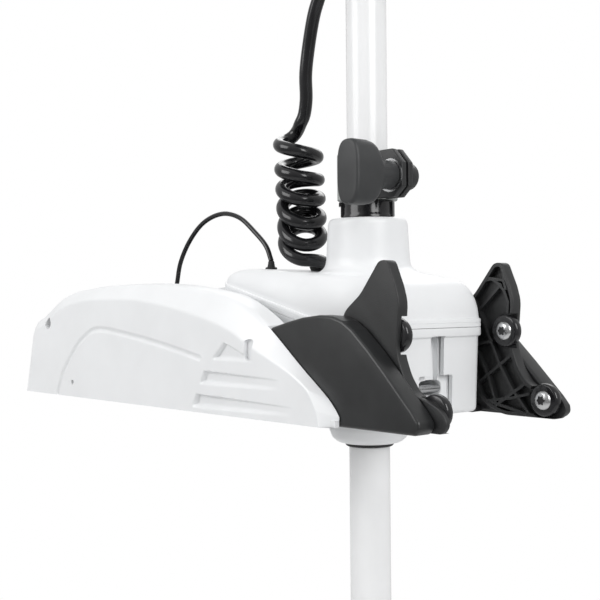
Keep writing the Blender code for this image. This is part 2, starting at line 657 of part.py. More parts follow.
def control_head(body):
    """Lower shell, cover, circuit board and status lens."""
    low = HEAD_BOTTOM
    rings = [level(head_outline(g), z) for g, z in (
        (-3, low + 31.7), (0, low + 31.7), (-1, low + 12), (-6, low + 3), (-12, low), )]
    outline = head_outline(0)
    bore = [(x * 14.7 / hypot(x, y), y * 14.7 / hypot(x, y), low) for x, y in outline]
    socket = [(x * 14.7 / hypot(x, y), y * 14.7 / hypot(x, y), low + 4) for x, y in outline]
    rings += [bore, socket]
    rings += [level(head_outline(g), z) for g, z in ((-14, low + 4), (-9, low + 6.5), (-4, low + 14))]
    piece("control_head_base", loft(rings, True), BLACK, body)
    rings = [level(head_outline(g), z) for g, z in (
        (-3, low + 32), (0, low + 32), (0, low + 46), (-3, low + 60), (-10, low + 72), (-22, low + 79), (-40, low + 81))]
    rings += [level(head_outline(g), z) for g, z in (
        (-40, low + 78), (-23, low + 76), (-13, low + 69), (-6, low + 58), (-3, low + 45))]
    cover = bmesh.new()
    rows = [[cover.verts.new(point) for point in points] for points in rings]
    for lower, upper in [(rows[k], rows[k + 1]) for k in range(6)] + [(rows[k], rows[k + 1]) for k in range(7, 11)]:
        for k in range(len(lower)):
            cover.faces.new((lower[k - 1], lower[k], upper[k], upper[k - 1]))
    for k in range(len(rows[0])):
        cover.faces.new((rows[11][k - 1], rows[11][k], rows[0][k], rows[0][k - 1]))
    cover.faces.new(rows[6])
    cover.faces.new(rows[7])
    made = piece("control_head_cover", cover, WHITE, body)
    combine(made, "DIFFERENCE", "button_hole", rod(6.3, low + 60, low + 90, centre=(-14, 0, 0)))
    piece("head_board", prism(head_outline(-12), low + 39, low + 40.6, "Z"), BOARD, body)
    lens = filleted([(10, -12), (34, -8), (34, 8), (10, 12)], 5)
    piece("status_lens", prism(lens, low + 81.3, low + 83, "Z"), LENS, body)


def head_button(body):
    low = HEAD_BOTTOM
    profile = [(0, 70), (8.2, 70), (8.2, 73), (6.0, 73), (6.0, 83.5), (0, 83.5)]
    piece("head_button", turned(profile, steps=16), BLACK, body, (-14, 0, low))


# ---------------------------------------------------------------- motor and propeller

def motor_can(body):
    """The can with the socket on top that holds the shaft."""
    made = piece("motor_can", rod(CAN_RADIUS, CAN_BACK, CAN_FRONT, "X", steps=32), WHITE, body, (0, 0, MOTOR_Z))
    profile = [(0, 20), (27, 20), (27, 44), (23, 60), (21, 76), (0, 76)]
    combine(made, "UNION", "shaft_socket", turned(profile, steps=24))
    bore = CAN_RADIUS - CAN_WALL
    combine(made, "DIFFERENCE", "can_bore", rod(bore, CAN_BACK - 5, CAN_FRONT + 5, "X", steps=32))
    combine(made, "DIFFERENCE", "socket_bore", rod(SHAFT_RADIUS + GAP, 51, 80, steps=24))
    combine(made, "DIFFERENCE", "wire_way", rod(5, 30, 60, steps=12))


def motor_ends(body):
    nose = [(0, 190), (13, 188), (25, 179), (37, 158), (44, 134), (46, CAN_FRONT + GAP),
            (42, CAN_FRONT + GAP), (40, 134), (33, 156), (21, 175), (0, 184)]
    piece("nose_cone", turned(nose, "X", steps=28), BLACK, body, (0, 0, MOTOR_Z))
    back = CAN_BACK - GAP
    tail = [(46, back), (44, back - 10), (36, back - 21), (27, back - 27), (6.5, back - 27), (6.5, back - 21),
            (33, back - 15), (41, back)]
    piece("tail_housing", turned(tail, "X", steps=28), BLACK, body, (0, 0, MOTOR_Z))


def motor_inside(body):
    bore = CAN_RADIUS - CAN_WALL
    piece("magnet_ring", ring(38.0, bore - GAP, -92, 62, "X", steps=28), FERRITE, body, (0, 0, MOTOR_Z))
    piece("brush_plate", ring(15.5, bore - GAP, 74, 78, "X", steps=28), NYLON, body, (0, 0, MOTOR_Z))


def skeg(body):
    outline = filleted([(18, -46.6), (-100, -46.6), (-92, -100), (-74, -112), (-56, -106), (-22, -62)], 8)
    piece("skeg", prism(outline, -3.2, 3.2, "Y"), BLACK, body, (0, 0, MOTOR_Z))


def armature(body):
    """A slotted core on the motor's shaft, with the commutator ahead of it."""
    outline = []
    slots = 12
    for k in range(slots):
        for radius, share in ((36.5, 0.06), (36.5, 0.44), (36.5, 0.82), (27, 0.86), (27, 1.02)):
            turn = tau * (k + share) / slots
            outline.append((radius * cos(turn), radius * sin(turn)))
    made = piece("armature", prism(outline, -86, 56, "X"), COPPER, body, (0, 0, MOTOR_Z))
    combine(made, "DIFFERENCE", "armature_bore", rod(MOTOR_SHAFT_RADIUS + GAP, -90, 60, "X"))
    piece("commutator", ring(MOTOR_SHAFT_RADIUS + GAP, 15, 60, 84, "X", steps=20), COPPER, body, (0, 0, MOTOR_Z))
    piece("motor_shaft", rod(MOTOR_SHAFT_RADIUS, -245, 98, "X"), STEEL, body, (0, 0, MOTOR_Z))


def blade_section(reach):
    """The blade's outline across its span at one distance from the hub's axis: chord, thickness, twist."""
    share = (reach - 20.0) / (BLADE_REACH - 20.0)
    chord = 26.0 + 30.0 * sin(pi * min(1.0, share * 0.9 + 0.1)) - 12.0 * share ** 4
    thick = 3.4 - 1.8 * share
    twist = radians(58.0 - 34.0 * share)
    rake = -8.0 * share ** 2
    points = []
    for along, off in ((-0.5, 0), (-0.25, 0.42), (0.1, 0.5), (0.5, 0), (0.1, -0.5), (-0.25, -0.42)):
        a = along * chord
        b = off * thick
        points.append((rake - 208 + b * cos(twist) - a * cos(twist + pi / 2), b * sin(twist) - a * sin(twist + pi / 2), reach))
    return points


def propeller(body):
    """A hub with two blades that stand upright at rest."""
    hub = [(6.3, HUB_FRONT), (27, HUB_FRONT), (27.5, HUB_FRONT - 12), (24, HUB_BACK + 14), (17, HUB_BACK + 2),
           (15, HUB_BACK), (6.3, HUB_BACK)]
    made = piece("propeller", turned(hub, "X", steps=24), WHITE, body, (0, 0, MOTOR_Z))
    made.data.materials[0].node_tree.nodes["Principled BSDF"].inputs["Base Color"].default_value = (*BLACK[0], 1.0)
    reaches = [20, 40, 62, 84, 104, 119, BLADE_REACH]
    for k, flip in enumerate((1, -1)):
        rings = [[(x, flip * y, flip * z) for x, y, z in blade_section(reach)] for reach in reaches]
        combine(made, "UNION", f"blade_{k}", loft(rings, False))
    nut = prism([(10.5 * cos(tau * k / 6), 10.5 * sin(tau * k / 6)) for k in range(6)], HUB_BACK - 8.5, HUB_BACK - GAP, "X")
    made = piece("prop_nut", nut, STEEL, body, (0, 0, MOTOR_Z))
    combine(made, "DIFFERENCE", "nut_bore", rod(MOTOR_SHAFT_RADIUS + GAP, -260, -200, "X"))


# ---------------------------------------------------------------- cords

COIL_LOW = 106.0
COIL_SPLIT = 150.0
COIL_HIGH = 210.5
TAIL_ROUTE = [
    (-77, 5, 213.4), (-73, 5.5, 220), (-70, 5, 232), (-68, 3, 250), (-63, 2, 271), (-55.5, 0.5, 291),
    (-48.5, 0, 304), (-44, 0, 314.4),
]
CABLE_ROUTE = [
    (-236, -12, 14.6), (-234, -12, 40), (-229, -11, 68), (-222, -10, 93), (-216, -10, 112), (-202, -10, 130),
    (-182, -10, 144), (-157, -10, 149.5), (-134, -10, 145), (-114, -10, 132), (-101, -10, 121), (-95, -10, 109.8),
]


def cords(base, tube, shaft):
    outside = COIL_REACH + COIL_CORD / 2
    lower = rod(outside, COIL_LOW, COIL_SPLIT, steps=20)
    piece("coil_cord_lower", lower, GLOSS_BLACK, tube, (COIL_X, COIL_Y, 0))
    upper = rod(outside, COIL_SPLIT + GAP, COIL_HIGH, steps=20)
    piece("coil_cord_upper", upper, GLOSS_BLACK, shaft, (COIL_X, COIL_Y, 0))
    cord("coil_cord_tail", TAIL_ROUTE, COIL_CORD, GLOSS_BLACK, shaft, 2)
    cord("thin_cable", CABLE_ROUTE, THIN_CORD, GLOSS_BLACK, base, 2)
    profile = [(0, PLATE_THICK + GAP), (5.5, PLATE_THICK + GAP), (5.5, 6.5), (3.4, 7.5), (2.7, 14.2), (0, 14.2)]
    piece("base_cable_gland", turned(profile, steps=12), RUBBER, base, (-236, -12, 0))


# ---------------------------------------------------------------- assembly

def bodies_on_axes(frame):
    """An empty on each joint's axis, each one under the body that carries it."""
    bodies = {"base": empty("body_base", (0, 0, 0), frame)}
    for key, (x, z) in ROLLERS.items():
        for name, side in SIDES.items():
            bodies[f"{key}_roller_{name}"] = empty(f"axis_{key}_roller_{name}", (x, side * 54.0, z), bodies["base"])
    bodies["housing"] = empty("axis_stow", (PIVOT_X, 0, PIVOT_Z), bodies["base"])
    bodies["worm"] = empty("axis_worm", (0, WORM_Y, WORM_Z), bodies["housing"])
    bodies["tube"] = empty("axis_steer", (0, 0, 0), bodies["housing"])
    knob = (-BOLT_Y * sin(COLLAR_TURN), BOLT_Y * cos(COLLAR_TURN), BOLT_Z)
    bodies["knob"] = empty("axis_knob", knob, bodies["tube"])
    bodies["shaft"] = empty("axis_depth", (0, 0, HEAD_BOTTOM), bodies["tube"])
    bodies["button"] = empty("axis_button", (-14, 0, HEAD_BOTTOM), bodies["shaft"])
    bodies["prop"] = empty("axis_propeller", (0, 0, MOTOR_Z), bodies["shaft"])
    return bodies


def build():
    clear_scene()
    frame = empty("assembly", (SHAFT_FORWARD, 0, 0))
    frame["place"] = (0.0, 0.0, 0.0)
    bodies = bodies_on_axes(frame)

    base = bodies["base"]
    base_plate(base)
    rear_end_cap(base)
    for name, side in SIDES.items():
        side_cover(base, name, side)
        ramp_cover(base, name, side)
        ramp(base, name, side)
        hinge_side(base, name, side)
        for key in ROLLERS:
            roller(bodies, base, key, name, side)

    housing = bodies["housing"]
    for make in (housing_cover, housing_gasket, housing_case, rope_pocket, lower_bearing, upper_bearing,
                 steering_motor, cord_exits):
        make(housing)

    for make in (output_tube, worm_wheel, depth_collar):
        make(bodies["tube"])
    worm_shaft(bodies["worm"])
    collar_knob(bodies["knob"])

    shaft = bodies["shaft"]
    for make in (shaft_tube, control_head, motor_can, motor_ends, motor_inside, skeg):
        make(shaft)
    head_button(bodies["button"])
    armature(bodies["prop"])
    propeller(bodies["prop"])
    cords(base, bodies["tube"], shaft)


build()
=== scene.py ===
# %% [markdown]
# # A bow-mount trolling motor
# The motor stands deployed on the bow of a boat: a white deck base with two black ramps in front, a
# steering housing that tilts in the base, a white shaft that slides in a collar, a control head on top
# and the motor with its propeller far below.
#
# This lesson dresses the imported model. Pieces that the imported model draws plainly are drawn again here,
# finer and in the same place, and each one rides on the body that moves it, apart from the cords. Pieces
# that are hidden inside keep the imported mesh and get a finish. Sizes are in millimetres around the shaft's
# axis, and one helper turns them into metres.

import json
from math import cos, hypot, pi, radians, sin, sqrt, tan, tau

import bmesh
import bpy
import numpy as np
from mathutils import Matrix, Vector

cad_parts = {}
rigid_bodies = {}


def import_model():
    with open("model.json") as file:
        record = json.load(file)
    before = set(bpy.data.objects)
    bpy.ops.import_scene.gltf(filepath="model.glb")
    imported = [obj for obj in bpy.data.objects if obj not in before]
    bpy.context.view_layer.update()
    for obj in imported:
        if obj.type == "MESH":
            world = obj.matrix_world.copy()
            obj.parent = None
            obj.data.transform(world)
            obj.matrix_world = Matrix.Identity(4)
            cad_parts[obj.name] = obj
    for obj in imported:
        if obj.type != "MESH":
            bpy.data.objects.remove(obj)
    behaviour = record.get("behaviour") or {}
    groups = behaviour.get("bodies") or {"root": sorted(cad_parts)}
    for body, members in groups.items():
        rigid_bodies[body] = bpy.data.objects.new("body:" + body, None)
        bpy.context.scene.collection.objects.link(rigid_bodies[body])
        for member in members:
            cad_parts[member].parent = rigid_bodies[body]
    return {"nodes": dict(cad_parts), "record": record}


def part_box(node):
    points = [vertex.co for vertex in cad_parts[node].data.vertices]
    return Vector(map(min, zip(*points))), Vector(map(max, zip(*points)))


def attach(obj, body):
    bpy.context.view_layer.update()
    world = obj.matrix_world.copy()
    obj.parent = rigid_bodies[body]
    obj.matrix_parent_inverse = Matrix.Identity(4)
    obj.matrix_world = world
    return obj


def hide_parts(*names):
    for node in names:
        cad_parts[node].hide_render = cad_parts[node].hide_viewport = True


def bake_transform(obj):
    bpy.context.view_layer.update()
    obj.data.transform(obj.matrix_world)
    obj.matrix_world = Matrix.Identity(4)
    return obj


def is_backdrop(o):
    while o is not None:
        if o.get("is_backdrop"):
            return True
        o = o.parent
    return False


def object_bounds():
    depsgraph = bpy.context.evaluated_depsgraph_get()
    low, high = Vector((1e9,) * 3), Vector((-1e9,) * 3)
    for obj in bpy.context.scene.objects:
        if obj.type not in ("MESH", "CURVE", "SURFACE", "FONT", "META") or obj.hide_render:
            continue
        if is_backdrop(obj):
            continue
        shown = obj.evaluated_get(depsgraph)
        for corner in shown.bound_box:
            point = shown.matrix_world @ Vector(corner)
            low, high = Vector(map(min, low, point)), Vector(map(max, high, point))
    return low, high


for item in list(bpy.data.objects):
    bpy.data.objects.remove(item, do_unlink=True)
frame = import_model()
cad_low, cad_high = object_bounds()

# %% The shaft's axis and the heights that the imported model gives
MM = 0.001


def node_box(node):
    """A node's lowest and highest corners, in millimetres around the shaft."""
    low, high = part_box(node)
    return (low - AXIS) / MM, (high - AXIS) / MM


shaft_low, shaft_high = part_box("shaft_tube")
AXIS = Vector(((shaft_low.x + shaft_high.x) / 2, (shaft_low.y + shaft_high.y) / 2, 0.0))
SHAFT_RADIUS = node_box("shaft_tube")[1].y
HEAD_BOTTOM = node_box("control_head_base")[0].z
COVER_OUT = node_box("side_cover_left")[1].y
COVER_IN = node_box("side_cover_left")[0].y
RAMP_COVER_OUT = node_box("ramp_cover_left")[1].y
RAMP_IN, RAMP_OUT = node_box("ramp_left")[0].y, node_box("ramp_left")[1].y
COLLAR_LOW, COLLAR_TOP = node_box("depth_collar")[0].z, node_box("depth_collar")[1].z
CLAMP_LOW = node_box("collar_clamp")[0].z
MOTOR_Z = (node_box("nose_cone")[0].z + node_box("nose_cone")[1].z) / 2
CAN_RADIUS = (node_box("nose_cone")[1].z - node_box("nose_cone")[0].z) / 2
CAN_BACK, CAN_FRONT = node_box("motor_can")[0].x, node_box("motor_can")[1].x
SIDES = {"right": -1, "left": 1}
print("shaft radius", round(SHAFT_RADIUS, 2), "head from", round(HEAD_BOTTOM, 1), "motor at",
      round(MOTOR_Z, 1))

# %% [markdown]
# ## Tools for shapes
# A shape here is a list of points and a list of faces. Moulded shells are lofts: rings with the same
# count of points, joined by quads. Round pieces are a profile turned round an axis, and ribs and plates
# are outlines pushed along an axis. Working on plain lists keeps every size readable, and the mesh is
# only made at the end, in metres.

# %% Outlines

def arc(centre, radius, start, end, steps):
    """Points along an arc, angles in degrees."""
    turns = [radians(start + (end - start) * k / steps) for k in range(steps + 1)]
    return [(centre[0] + radius * cos(t), centre[1] + radius * sin(t)) for t in turns]


def rounded(outline, radius, steps=6):
    """The closed outline with each corner rounded, where its edges leave room."""
    found = []
    for k, place in enumerate(outline):
        corner = Vector(place)
        back = Vector(outline[k - 1]) - corner
        ahead = Vector(outline[(k + 1) % len(outline)]) - corner
        half_angle = back.angle(ahead) / 2
        if half_angle > radians(86.0):
            found.append(tuple(corner))
            continue
        reach = min(radius / tan(half_angle), 0.45 * back.length, 0.45 * ahead.length)
        start = corner + back.normalized() * reach
        end = corner + ahead.normalized() * reach
        for j in range(steps + 1):
            t = j / steps
            found.append(tuple(start * (1 - t) ** 2 + corner * 2 * t * (1 - t) + end * t ** 2))
    return found


def area(outline):
    """Signed area, positive where the outline runs anticlockwise."""
    return sum(a[0] * b[1] - a[1] * b[0] for a, b in zip(outline, outline[1:] + outline[:1])) / 2


def inset(outline, distance):
    """The outline moved inwards by a distance, corner by corner."""
    turn = 1 if area(outline) > 0 else -1
    found = []
    for k, place in enumerate(outline):
        corner = Vector(place)
        back = (corner - Vector(outline[k - 1])).normalized()
        ahead = (Vector(outline[(k + 1) % len(outline)]) - corner).normalized()
        along = (back + ahead).normalized()
        normal = Vector((-along.y, along.x)) * turn
        stretch = max(0.5, sqrt(max(0.0, (1 + back.dot(ahead)) / 2)))
        found.append(tuple(corner + normal * distance / stretch))
    return found


def through(points, spacing):
    """A smooth curve through the points, read off about every spacing millimetres."""
    places = [Vector(p) for p in points]
    places = [places[0] * 2 - places[1]] + places + [places[-1] * 2 - places[-2]]
    curve = []
    for a, b, c, d in zip(places, places[1:], places[2:], places[3:]):
        steps = max(1, round((c - b).length / spacing))
        for k in range(steps):
            t = k / steps
            curve.append(0.5 * (2 * b + (c - a) * t + (2 * a - 5 * b + 4 * c - d) * t * t
                                + (3 * b - a - 3 * c + d) * t ** 3))
    curve.append(places[-2])
    return curve


print("rounded square:", len(rounded([(0, 0), (9, 0), (9, 9), (0, 9)], 2)), "points")

# %% Shapes from rings, outlines and profiles

def on_axis(axis, a, b, along):
    return {"X": (along, a, b), "Y": (a, along, b), "Z": (a, b, along)}[axis]


def loft(rings, closed=False):
    """Rings of equal count joined by quads; closed joins the last to the first, else both are capped."""
    count = len(rings[0])
    points = [point for ring in rings for point in ring]
    rows = len(rings) if closed else len(rings) - 1
    faces = []
    for row in range(rows):
        low = row * count
        high = (row + 1) % len(rings) * count
        faces += [(low + k - 1, low + k, high + k, high + k - 1) for k in range(1, count)]
        faces.append((low + count - 1, low, high, high + count - 1))
    if not closed:
        faces.append(tuple(range(count)))
        faces.append(tuple(range(len(points) - count, len(points))))
    return points, faces


def slab(outline, low, high, axis, edge=0.0, steps=3):
    """An outline pushed along an axis, with its two rims rounded over by the edge radius."""
    levels = [(0.0, low), (0.0, high)]
    if edge:
        turns = [pi / 2 * k / steps for k in range(steps + 1)]
        levels = [(edge * (1 - sin(t)), low + edge * (1 - cos(t))) for t in turns]
        levels += [(edge * (1 - sin(t)), high - edge * (1 - cos(t))) for t in reversed(turns)]
    return loft([[on_axis(axis, a, b, along) for a, b in (inset(outline, deep) if deep else outline)]
                 for deep, along in levels])


def turned(profile, axis="Z", centre=(0.0, 0.0, 0.0), steps=72):
    """A closed profile of (radius, along) points, turned round the axis through the centre."""
    rings = []
    for radius, along in profile:
        ring = [on_axis(axis, radius * cos(tau * k / steps), radius * sin(tau * k / steps), along)
                for k in range(steps)]
        rings.append([tuple(a + b for a, b in zip(point, centre)) for point in ring])
    return loft(rings, True)


def sided(shape, side):
    """The shape as it is, or mirrored to the other side of the object."""
    points, faces = shape
    return [(x, side * y, z) for x, y, z in points], faces


def joined(*shapes):
    points = []
    faces = []
    for more_points, more_faces in shapes:
        faces += [tuple(k + len(points) for k in face) for face in more_faces]
        points += more_points
    return points, faces


def tube(route, radius, sides=20):
    """A round tube along a route, its section carried along without twist. The radius may vary."""
    count = len(route)
    radii = radius if isinstance(radius, list) else [radius] * count
    rings = []
    normal = None
    for k, place in enumerate(route):
        along = (route[min(k + 1, count - 1)] - route[max(k - 1, 0)]).normalized()
        if normal is None:
            normal = along.orthogonal().normalized()
        normal = (normal - along * normal.dot(along)).normalized()
        across = along.cross(normal)
        rings.append([tuple(place + (normal * cos(tau * j / sides) + across * sin(tau * j / sides))
                            * radii[k])
                      for j in range(sides)])
    return loft(rings)


print("a turned ring has", len(turned([(5, 0), (6, 0), (6, 2), (5, 2)])[1]), "faces")

# %% Pieces in the scene

PIECES = []


def solid(name, shape, smooth=35.0):
    """A mesh object in metres, its doubled points merged and its faces turned outwards."""
    points, faces = shape
    mesh = bpy.data.meshes.new(name)
    mesh.from_pydata([AXIS + Vector(point) * MM for point in points], [], faces)
    form = bmesh.new()
    form.from_mesh(mesh)
    bmesh.ops.remove_doubles(form, verts=form.verts, dist=1e-6)
    bmesh.ops.recalc_face_normals(form, faces=form.faces)
    form.to_mesh(mesh)
    form.free()
    mesh.shade_smooth()
    mesh.set_sharp_from_angle(angle=radians(smooth))
    made = bpy.data.objects.new(name, mesh)
    bpy.context.collection.objects.link(made)
    return made


def baked(target, smooth=35.0):
    """Apply the modifiers of an object to its mesh."""
    bpy.context.view_layer.update()
    graph = bpy.context.evaluated_depsgraph_get()
    mesh = bpy.data.meshes.new_from_object(target.evaluated_get(graph))
    target.modifiers.clear()
    target.data = mesh
    mesh.shade_smooth()
    mesh.set_sharp_from_angle(angle=radians(smooth))
    return target


def carved(target, operation, shapes, smooth=35.0):
    """Cut shapes out of a target, or join them on, at once."""
    for k, shape in enumerate(shapes):
        cutter = solid(f"{target.name}_cutter", shape)
        step = target.modifiers.new("carve", "BOOLEAN")
        step.operation = operation
        step.solver = "MANIFOLD"
        step.object = cutter
        before = len(target.data.vertices)
        baked(target, smooth)
        if len(target.data.vertices) == 0:
            raise ValueError(f"{target.name}: nothing left after shape {k} of {before} points")
        bpy.data.objects.remove(cutter, do_unlink=True)
    return target


def placed(made, finish, body, nodes=()):
    """Give a made object its finish, attach it to the body that moves it, and hide the nodes it stands for.
    """
    made.data.materials.clear()
    made.data.materials.append(finish)
    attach(made, body)
    if nodes:
        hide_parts(*nodes)
    PIECES.append(made.name)
    return made


SLOT_OF = {entry["node"]: entry["material_slot"] for entry in frame["record"]["subparts"]}
print("slots:", sorted(set(SLOT_OF.values())))

# %% [markdown]
# ## Tools for finishes
# A finish is a Principled shader with a few noises behind it. Arithmetic on a signal in the shader reads
# best as arithmetic, so a small class wraps a socket and turns +, -, * and / into Math nodes. Every other
# node comes from one method that takes its type, its settings and what goes into its sockets.

# %% A signal and a finish

class Signal:
    """A number that varies over the surface, with Python's arithmetic."""

    def __init__(self, finish, socket):
        self.finish = finish
        self.socket = socket

    def maths(self, operation, first, second):
        return self.finish.node("ShaderNodeMath", {"operation": operation}, {0: first, 1: second})

    def __add__(self, other):
        return self.maths("ADD", self, other)

    def __sub__(self, other):
        return self.maths("SUBTRACT", self, other)

    def __mul__(self, other):
        return self.maths("MULTIPLY", self, other)

    def __truediv__(self, other):
        return self.maths("DIVIDE", self, other)

    def __radd__(self, other):
        return self.maths("ADD", other, self)

    def __rsub__(self, other):
        return self.maths("SUBTRACT", other, self)

    def __rmul__(self, other):
        return self.maths("MULTIPLY", other, self)

    def __rtruediv__(self, other):
        return self.maths("DIVIDE", other, self)


class Finish:
    """A material with a Principled shader."""

    def __init__(self, name, colour, roughness, **fixed):
        self.material = bpy.data.materials.new(name)
        self.material.use_nodes = True
        self.tree = self.material.node_tree
        self.shader = self.tree.nodes["Principled BSDF"]
        self.material.diffuse_color = (*colour, 1.0)
        self.feed(self.shader, {"Base Color": (*colour, 1.0), "Roughness": roughness})
        self.feed(self.shader, {key.replace("_", " "): value for key, value in fixed.items()})

    def feed(self, node, values):
        for key, value in values.items():
            if isinstance(value, Signal):
                self.tree.links.new(value.socket, node.inputs[key])
            else:
                node.inputs[key].default_value = value

    def node(self, kind, settings=None, inputs=None, output=0):
        """A node of a type: its settings first, then the values or links of its sockets."""
        made = self.tree.nodes.new(kind)
        for key, value in (settings or {}).items():
            if key == "stops":
                made.color_ramp.elements[0].position = value[0]
                made.color_ramp.elements[1].position = value[1]
            else:
                setattr(made, key, value)
        self.feed(made, inputs or {})
        return Signal(self, made.outputs[output])

    def place(self):
        return self.node("ShaderNodeTexCoord", output="Object")

    def stretched(self, x, y, z):
        """Object coordinates scaled along each axis, for grain that runs one way."""
        return self.node("ShaderNodeVectorMath", {"operation": "MULTIPLY"}, {0: self.place(), 1: (x, y, z)})

    def noise(self, size, detail=2.0, rough=0.5, place=None):
        """A soft noise with features of a size in millimetres, about 0 to 1."""
        inputs = {"Vector": place or self.place(), "Scale": 1 / (size * MM), "Detail": detail,
                  "Roughness": rough}
        return self.node("ShaderNodeTexNoise", None, inputs, "Fac")

    def cells(self, size, place=None):
        """Distance to the middle of the nearest cell, for pebbled grain."""
        inputs = {"Vector": place or self.place(), "Scale": 1 / (size * MM)}
        return self.node("ShaderNodeTexVoronoi", None, inputs, "Distance")

    def mask(self, signal, low, high):
        """A signal stretched so that low becomes 0 and high becomes 1."""
        made = self.node("ShaderNodeMapRange", None, {0: signal, 1: low, 2: high, 3: 0.0, 4: 1.0})
        return made

    def blend(self, share, first, second):
        """A colour between two, by a share from 0 to 1."""
        inputs = {0: share, 6: (*first, 1.0), 7: (*second, 1.0)}
        return self.node("ShaderNodeMix", {"data_type": "RGBA"}, inputs, 2)

    def bumped(self, height, distance, strength=1.0):
        """Feed a height to the shader's normal; the distance is in millimetres."""
        inputs = {"Height": height, "Distance": distance * MM, "Strength": strength}
        self.feed(self.shader, {"Normal": self.node("ShaderNodeBump", None, inputs, "Normal")})

    def coloured(self, colour):
        self.feed(self.shader, {"Base Color": colour})

    def roughened(self, signal):
        self.feed(self.shader, {"Roughness": signal})


print("tools ready")

# %% [markdown]
# ## Moulded, painted and drawn finishes
# The white shells are injection moulded: satin, with a faint ripple where the plastic shrank. The black
# parts are glass-filled nylon from a spark-eroded mould, so they have a fine even grain. The sleeve,
# rollers and cord jackets are smooth. Real parts are never one colour all over, so each finish lets its
# colour and its gloss wander a little.

# %% White and black plastics

def moulded_white(name, colour, roughness, ripple):
    made = Finish(name, colour, roughness, IOR=1.48)
    cloud = made.noise(38.0, 3.0)
    fine = made.noise(5.0, 2.0)
    duller = tuple(0.965 * value for value in colour)
    made.coloured(made.blend(made.mask(cloud, 0.35, 0.65), duller, colour))
    made.roughened(roughness - 0.05 + fine * 0.1)
    made.bumped(made.noise(1.6, 2.0) + made.noise(9.0, 1.0) * 2.0, ripple)
    return made.material


def textured_black(name, colour, roughness, grain, depth):
    made = Finish(name, colour, roughness, IOR=1.5)
    pebble = made.cells(grain)
    speck = made.noise(grain * 1.7, 3.0, 0.6)
    cloud = made.noise(22.0, 2.0)
    paler = tuple(1.5 * value + 0.004 for value in colour)
    made.coloured(made.blend(made.mask(cloud + speck * 0.5, 0.5, 1.0), colour, paler))
    made.roughened(roughness - 0.08 + speck * 0.16)
    made.bumped(1.0 - pebble + speck, depth, 0.8)
    return made.material


def smooth_black(name, colour, roughness, ripple):
    made = Finish(name, colour, roughness, IOR=1.5)
    cloud = made.noise(14.0, 3.0)
    paler = tuple(1.6 * value + 0.002 for value in colour)
    made.coloured(made.blend(made.mask(cloud, 0.35, 0.7), colour, paler))
    made.roughened(roughness - 0.04 + made.noise(4.0, 3.0) * 0.1)
    made.bumped(made.noise(2.2, 2.0), ripple)
    return made.material


finishes = {
    "white_moulding": moulded_white("moulded_white", (0.80, 0.81, 0.82), 0.34, 0.012),
    "white_shaft": moulded_white("pultruded_white", (0.84, 0.845, 0.85), 0.2, 0.006),
    "white_paint": moulded_white("painted_white", (0.8, 0.81, 0.82), 0.16, 0.01),
    "clamp_grey": moulded_white("moulded_grey", (0.38, 0.40, 0.39), 0.38, 0.01),
    "nylon": moulded_white("natural_nylon", (0.72, 0.7, 0.62), 0.5, 0.01),
    "black_moulding": textured_black("textured_black", (0.011, 0.0115, 0.012), 0.46, 0.55, 0.05),
    "ramp_shell": textured_black("satin_charcoal", (0.009, 0.0095, 0.01), 0.36, 0.4, 0.02),
    "knob_grain": textured_black("grained_charcoal", (0.022, 0.023, 0.024), 0.5, 0.45, 0.05),
    "gloss_black": smooth_black("gloss_black", (0.008, 0.008, 0.009), 0.16, 0.004),
    "cord_jacket": smooth_black("cord_jacket", (0.006, 0.006, 0.007), 0.16, 0.0015),
    "black_rubber": textured_black("matt_rubber", (0.012, 0.012, 0.012), 0.7, 0.3, 0.02),
    "black_coat": textured_black("powder_coat", (0.012, 0.012, 0.013), 0.42, 0.7, 0.03),
}
print("plastics:", len(finishes))

# %% Metals and what lies inside

def brushed(name, colour, roughness, stretch, grain=0.25):
    """Bare metal with fine marks that run along one axis; the stretch shortens the marks' axis."""
    made = Finish(name, colour, roughness, Metallic=1.0)
    marks = made.noise(grain, 3.0, 0.6, made.stretched(*stretch))
    cloud = made.noise(12.0, 2.0)
    darker = tuple(0.82 * value for value in colour)
    made.coloured(made.blend(made.mask(cloud + marks * 0.6, 0.4, 1.1), darker, colour))
    made.roughened(roughness - 0.07 + marks * 0.16)
    made.bumped(marks, 0.006)
    return made.material


def mottled(name, colour, spots, size, roughness, metallic=0.0):
    """A body with spots of another shade, such as sintered ferrite or a printed board."""
    made = Finish(name, colour, roughness, Metallic=metallic)
    spread = made.noise(size, 4.0, 0.65)
    made.coloured(made.blend(made.mask(spread, 0.42, 0.62), colour, spots))
    made.roughened(roughness - 0.1 + spread * 0.2)
    made.bumped(spread, 0.02)
    return made.material


finishes["aluminium"] = brushed("drawn_aluminium", (0.62, 0.63, 0.65), 0.36, (1.0, 1.0, 0.05))
finishes["steel"] = brushed("stainless_steel", (0.56, 0.565, 0.57), 0.25, (0.08, 1.0, 1.0))
finishes["bronze"] = brushed("bearing_bronze", (0.52, 0.34, 0.16), 0.36, (1.0, 1.0, 0.1))
finishes["copper"] = brushed("copper_windings", (0.68, 0.3, 0.16), 0.34, (0.05, 1.0, 1.0), 0.5)
finishes["ferrite"] = mottled("grey_ferrite", (0.06, 0.06, 0.065), (0.11, 0.11, 0.115), 1.5, 0.6)
finishes["circuit_board"] = mottled("green_board", (0.012, 0.1, 0.03), (0.05, 0.18, 0.06), 3.0, 0.4)
finishes["dark_lens"] = smooth_black("dark_lens", (0.02, 0.02, 0.025), 0.06, 0.002)
for node, slot in SLOT_OF.items():
    kept = frame["nodes"][node]
    kept.data.materials.clear()
    kept.data.materials.append(finishes[slot])
print("finishes:", len(finishes), "on", len(SLOT_OF), "nodes")

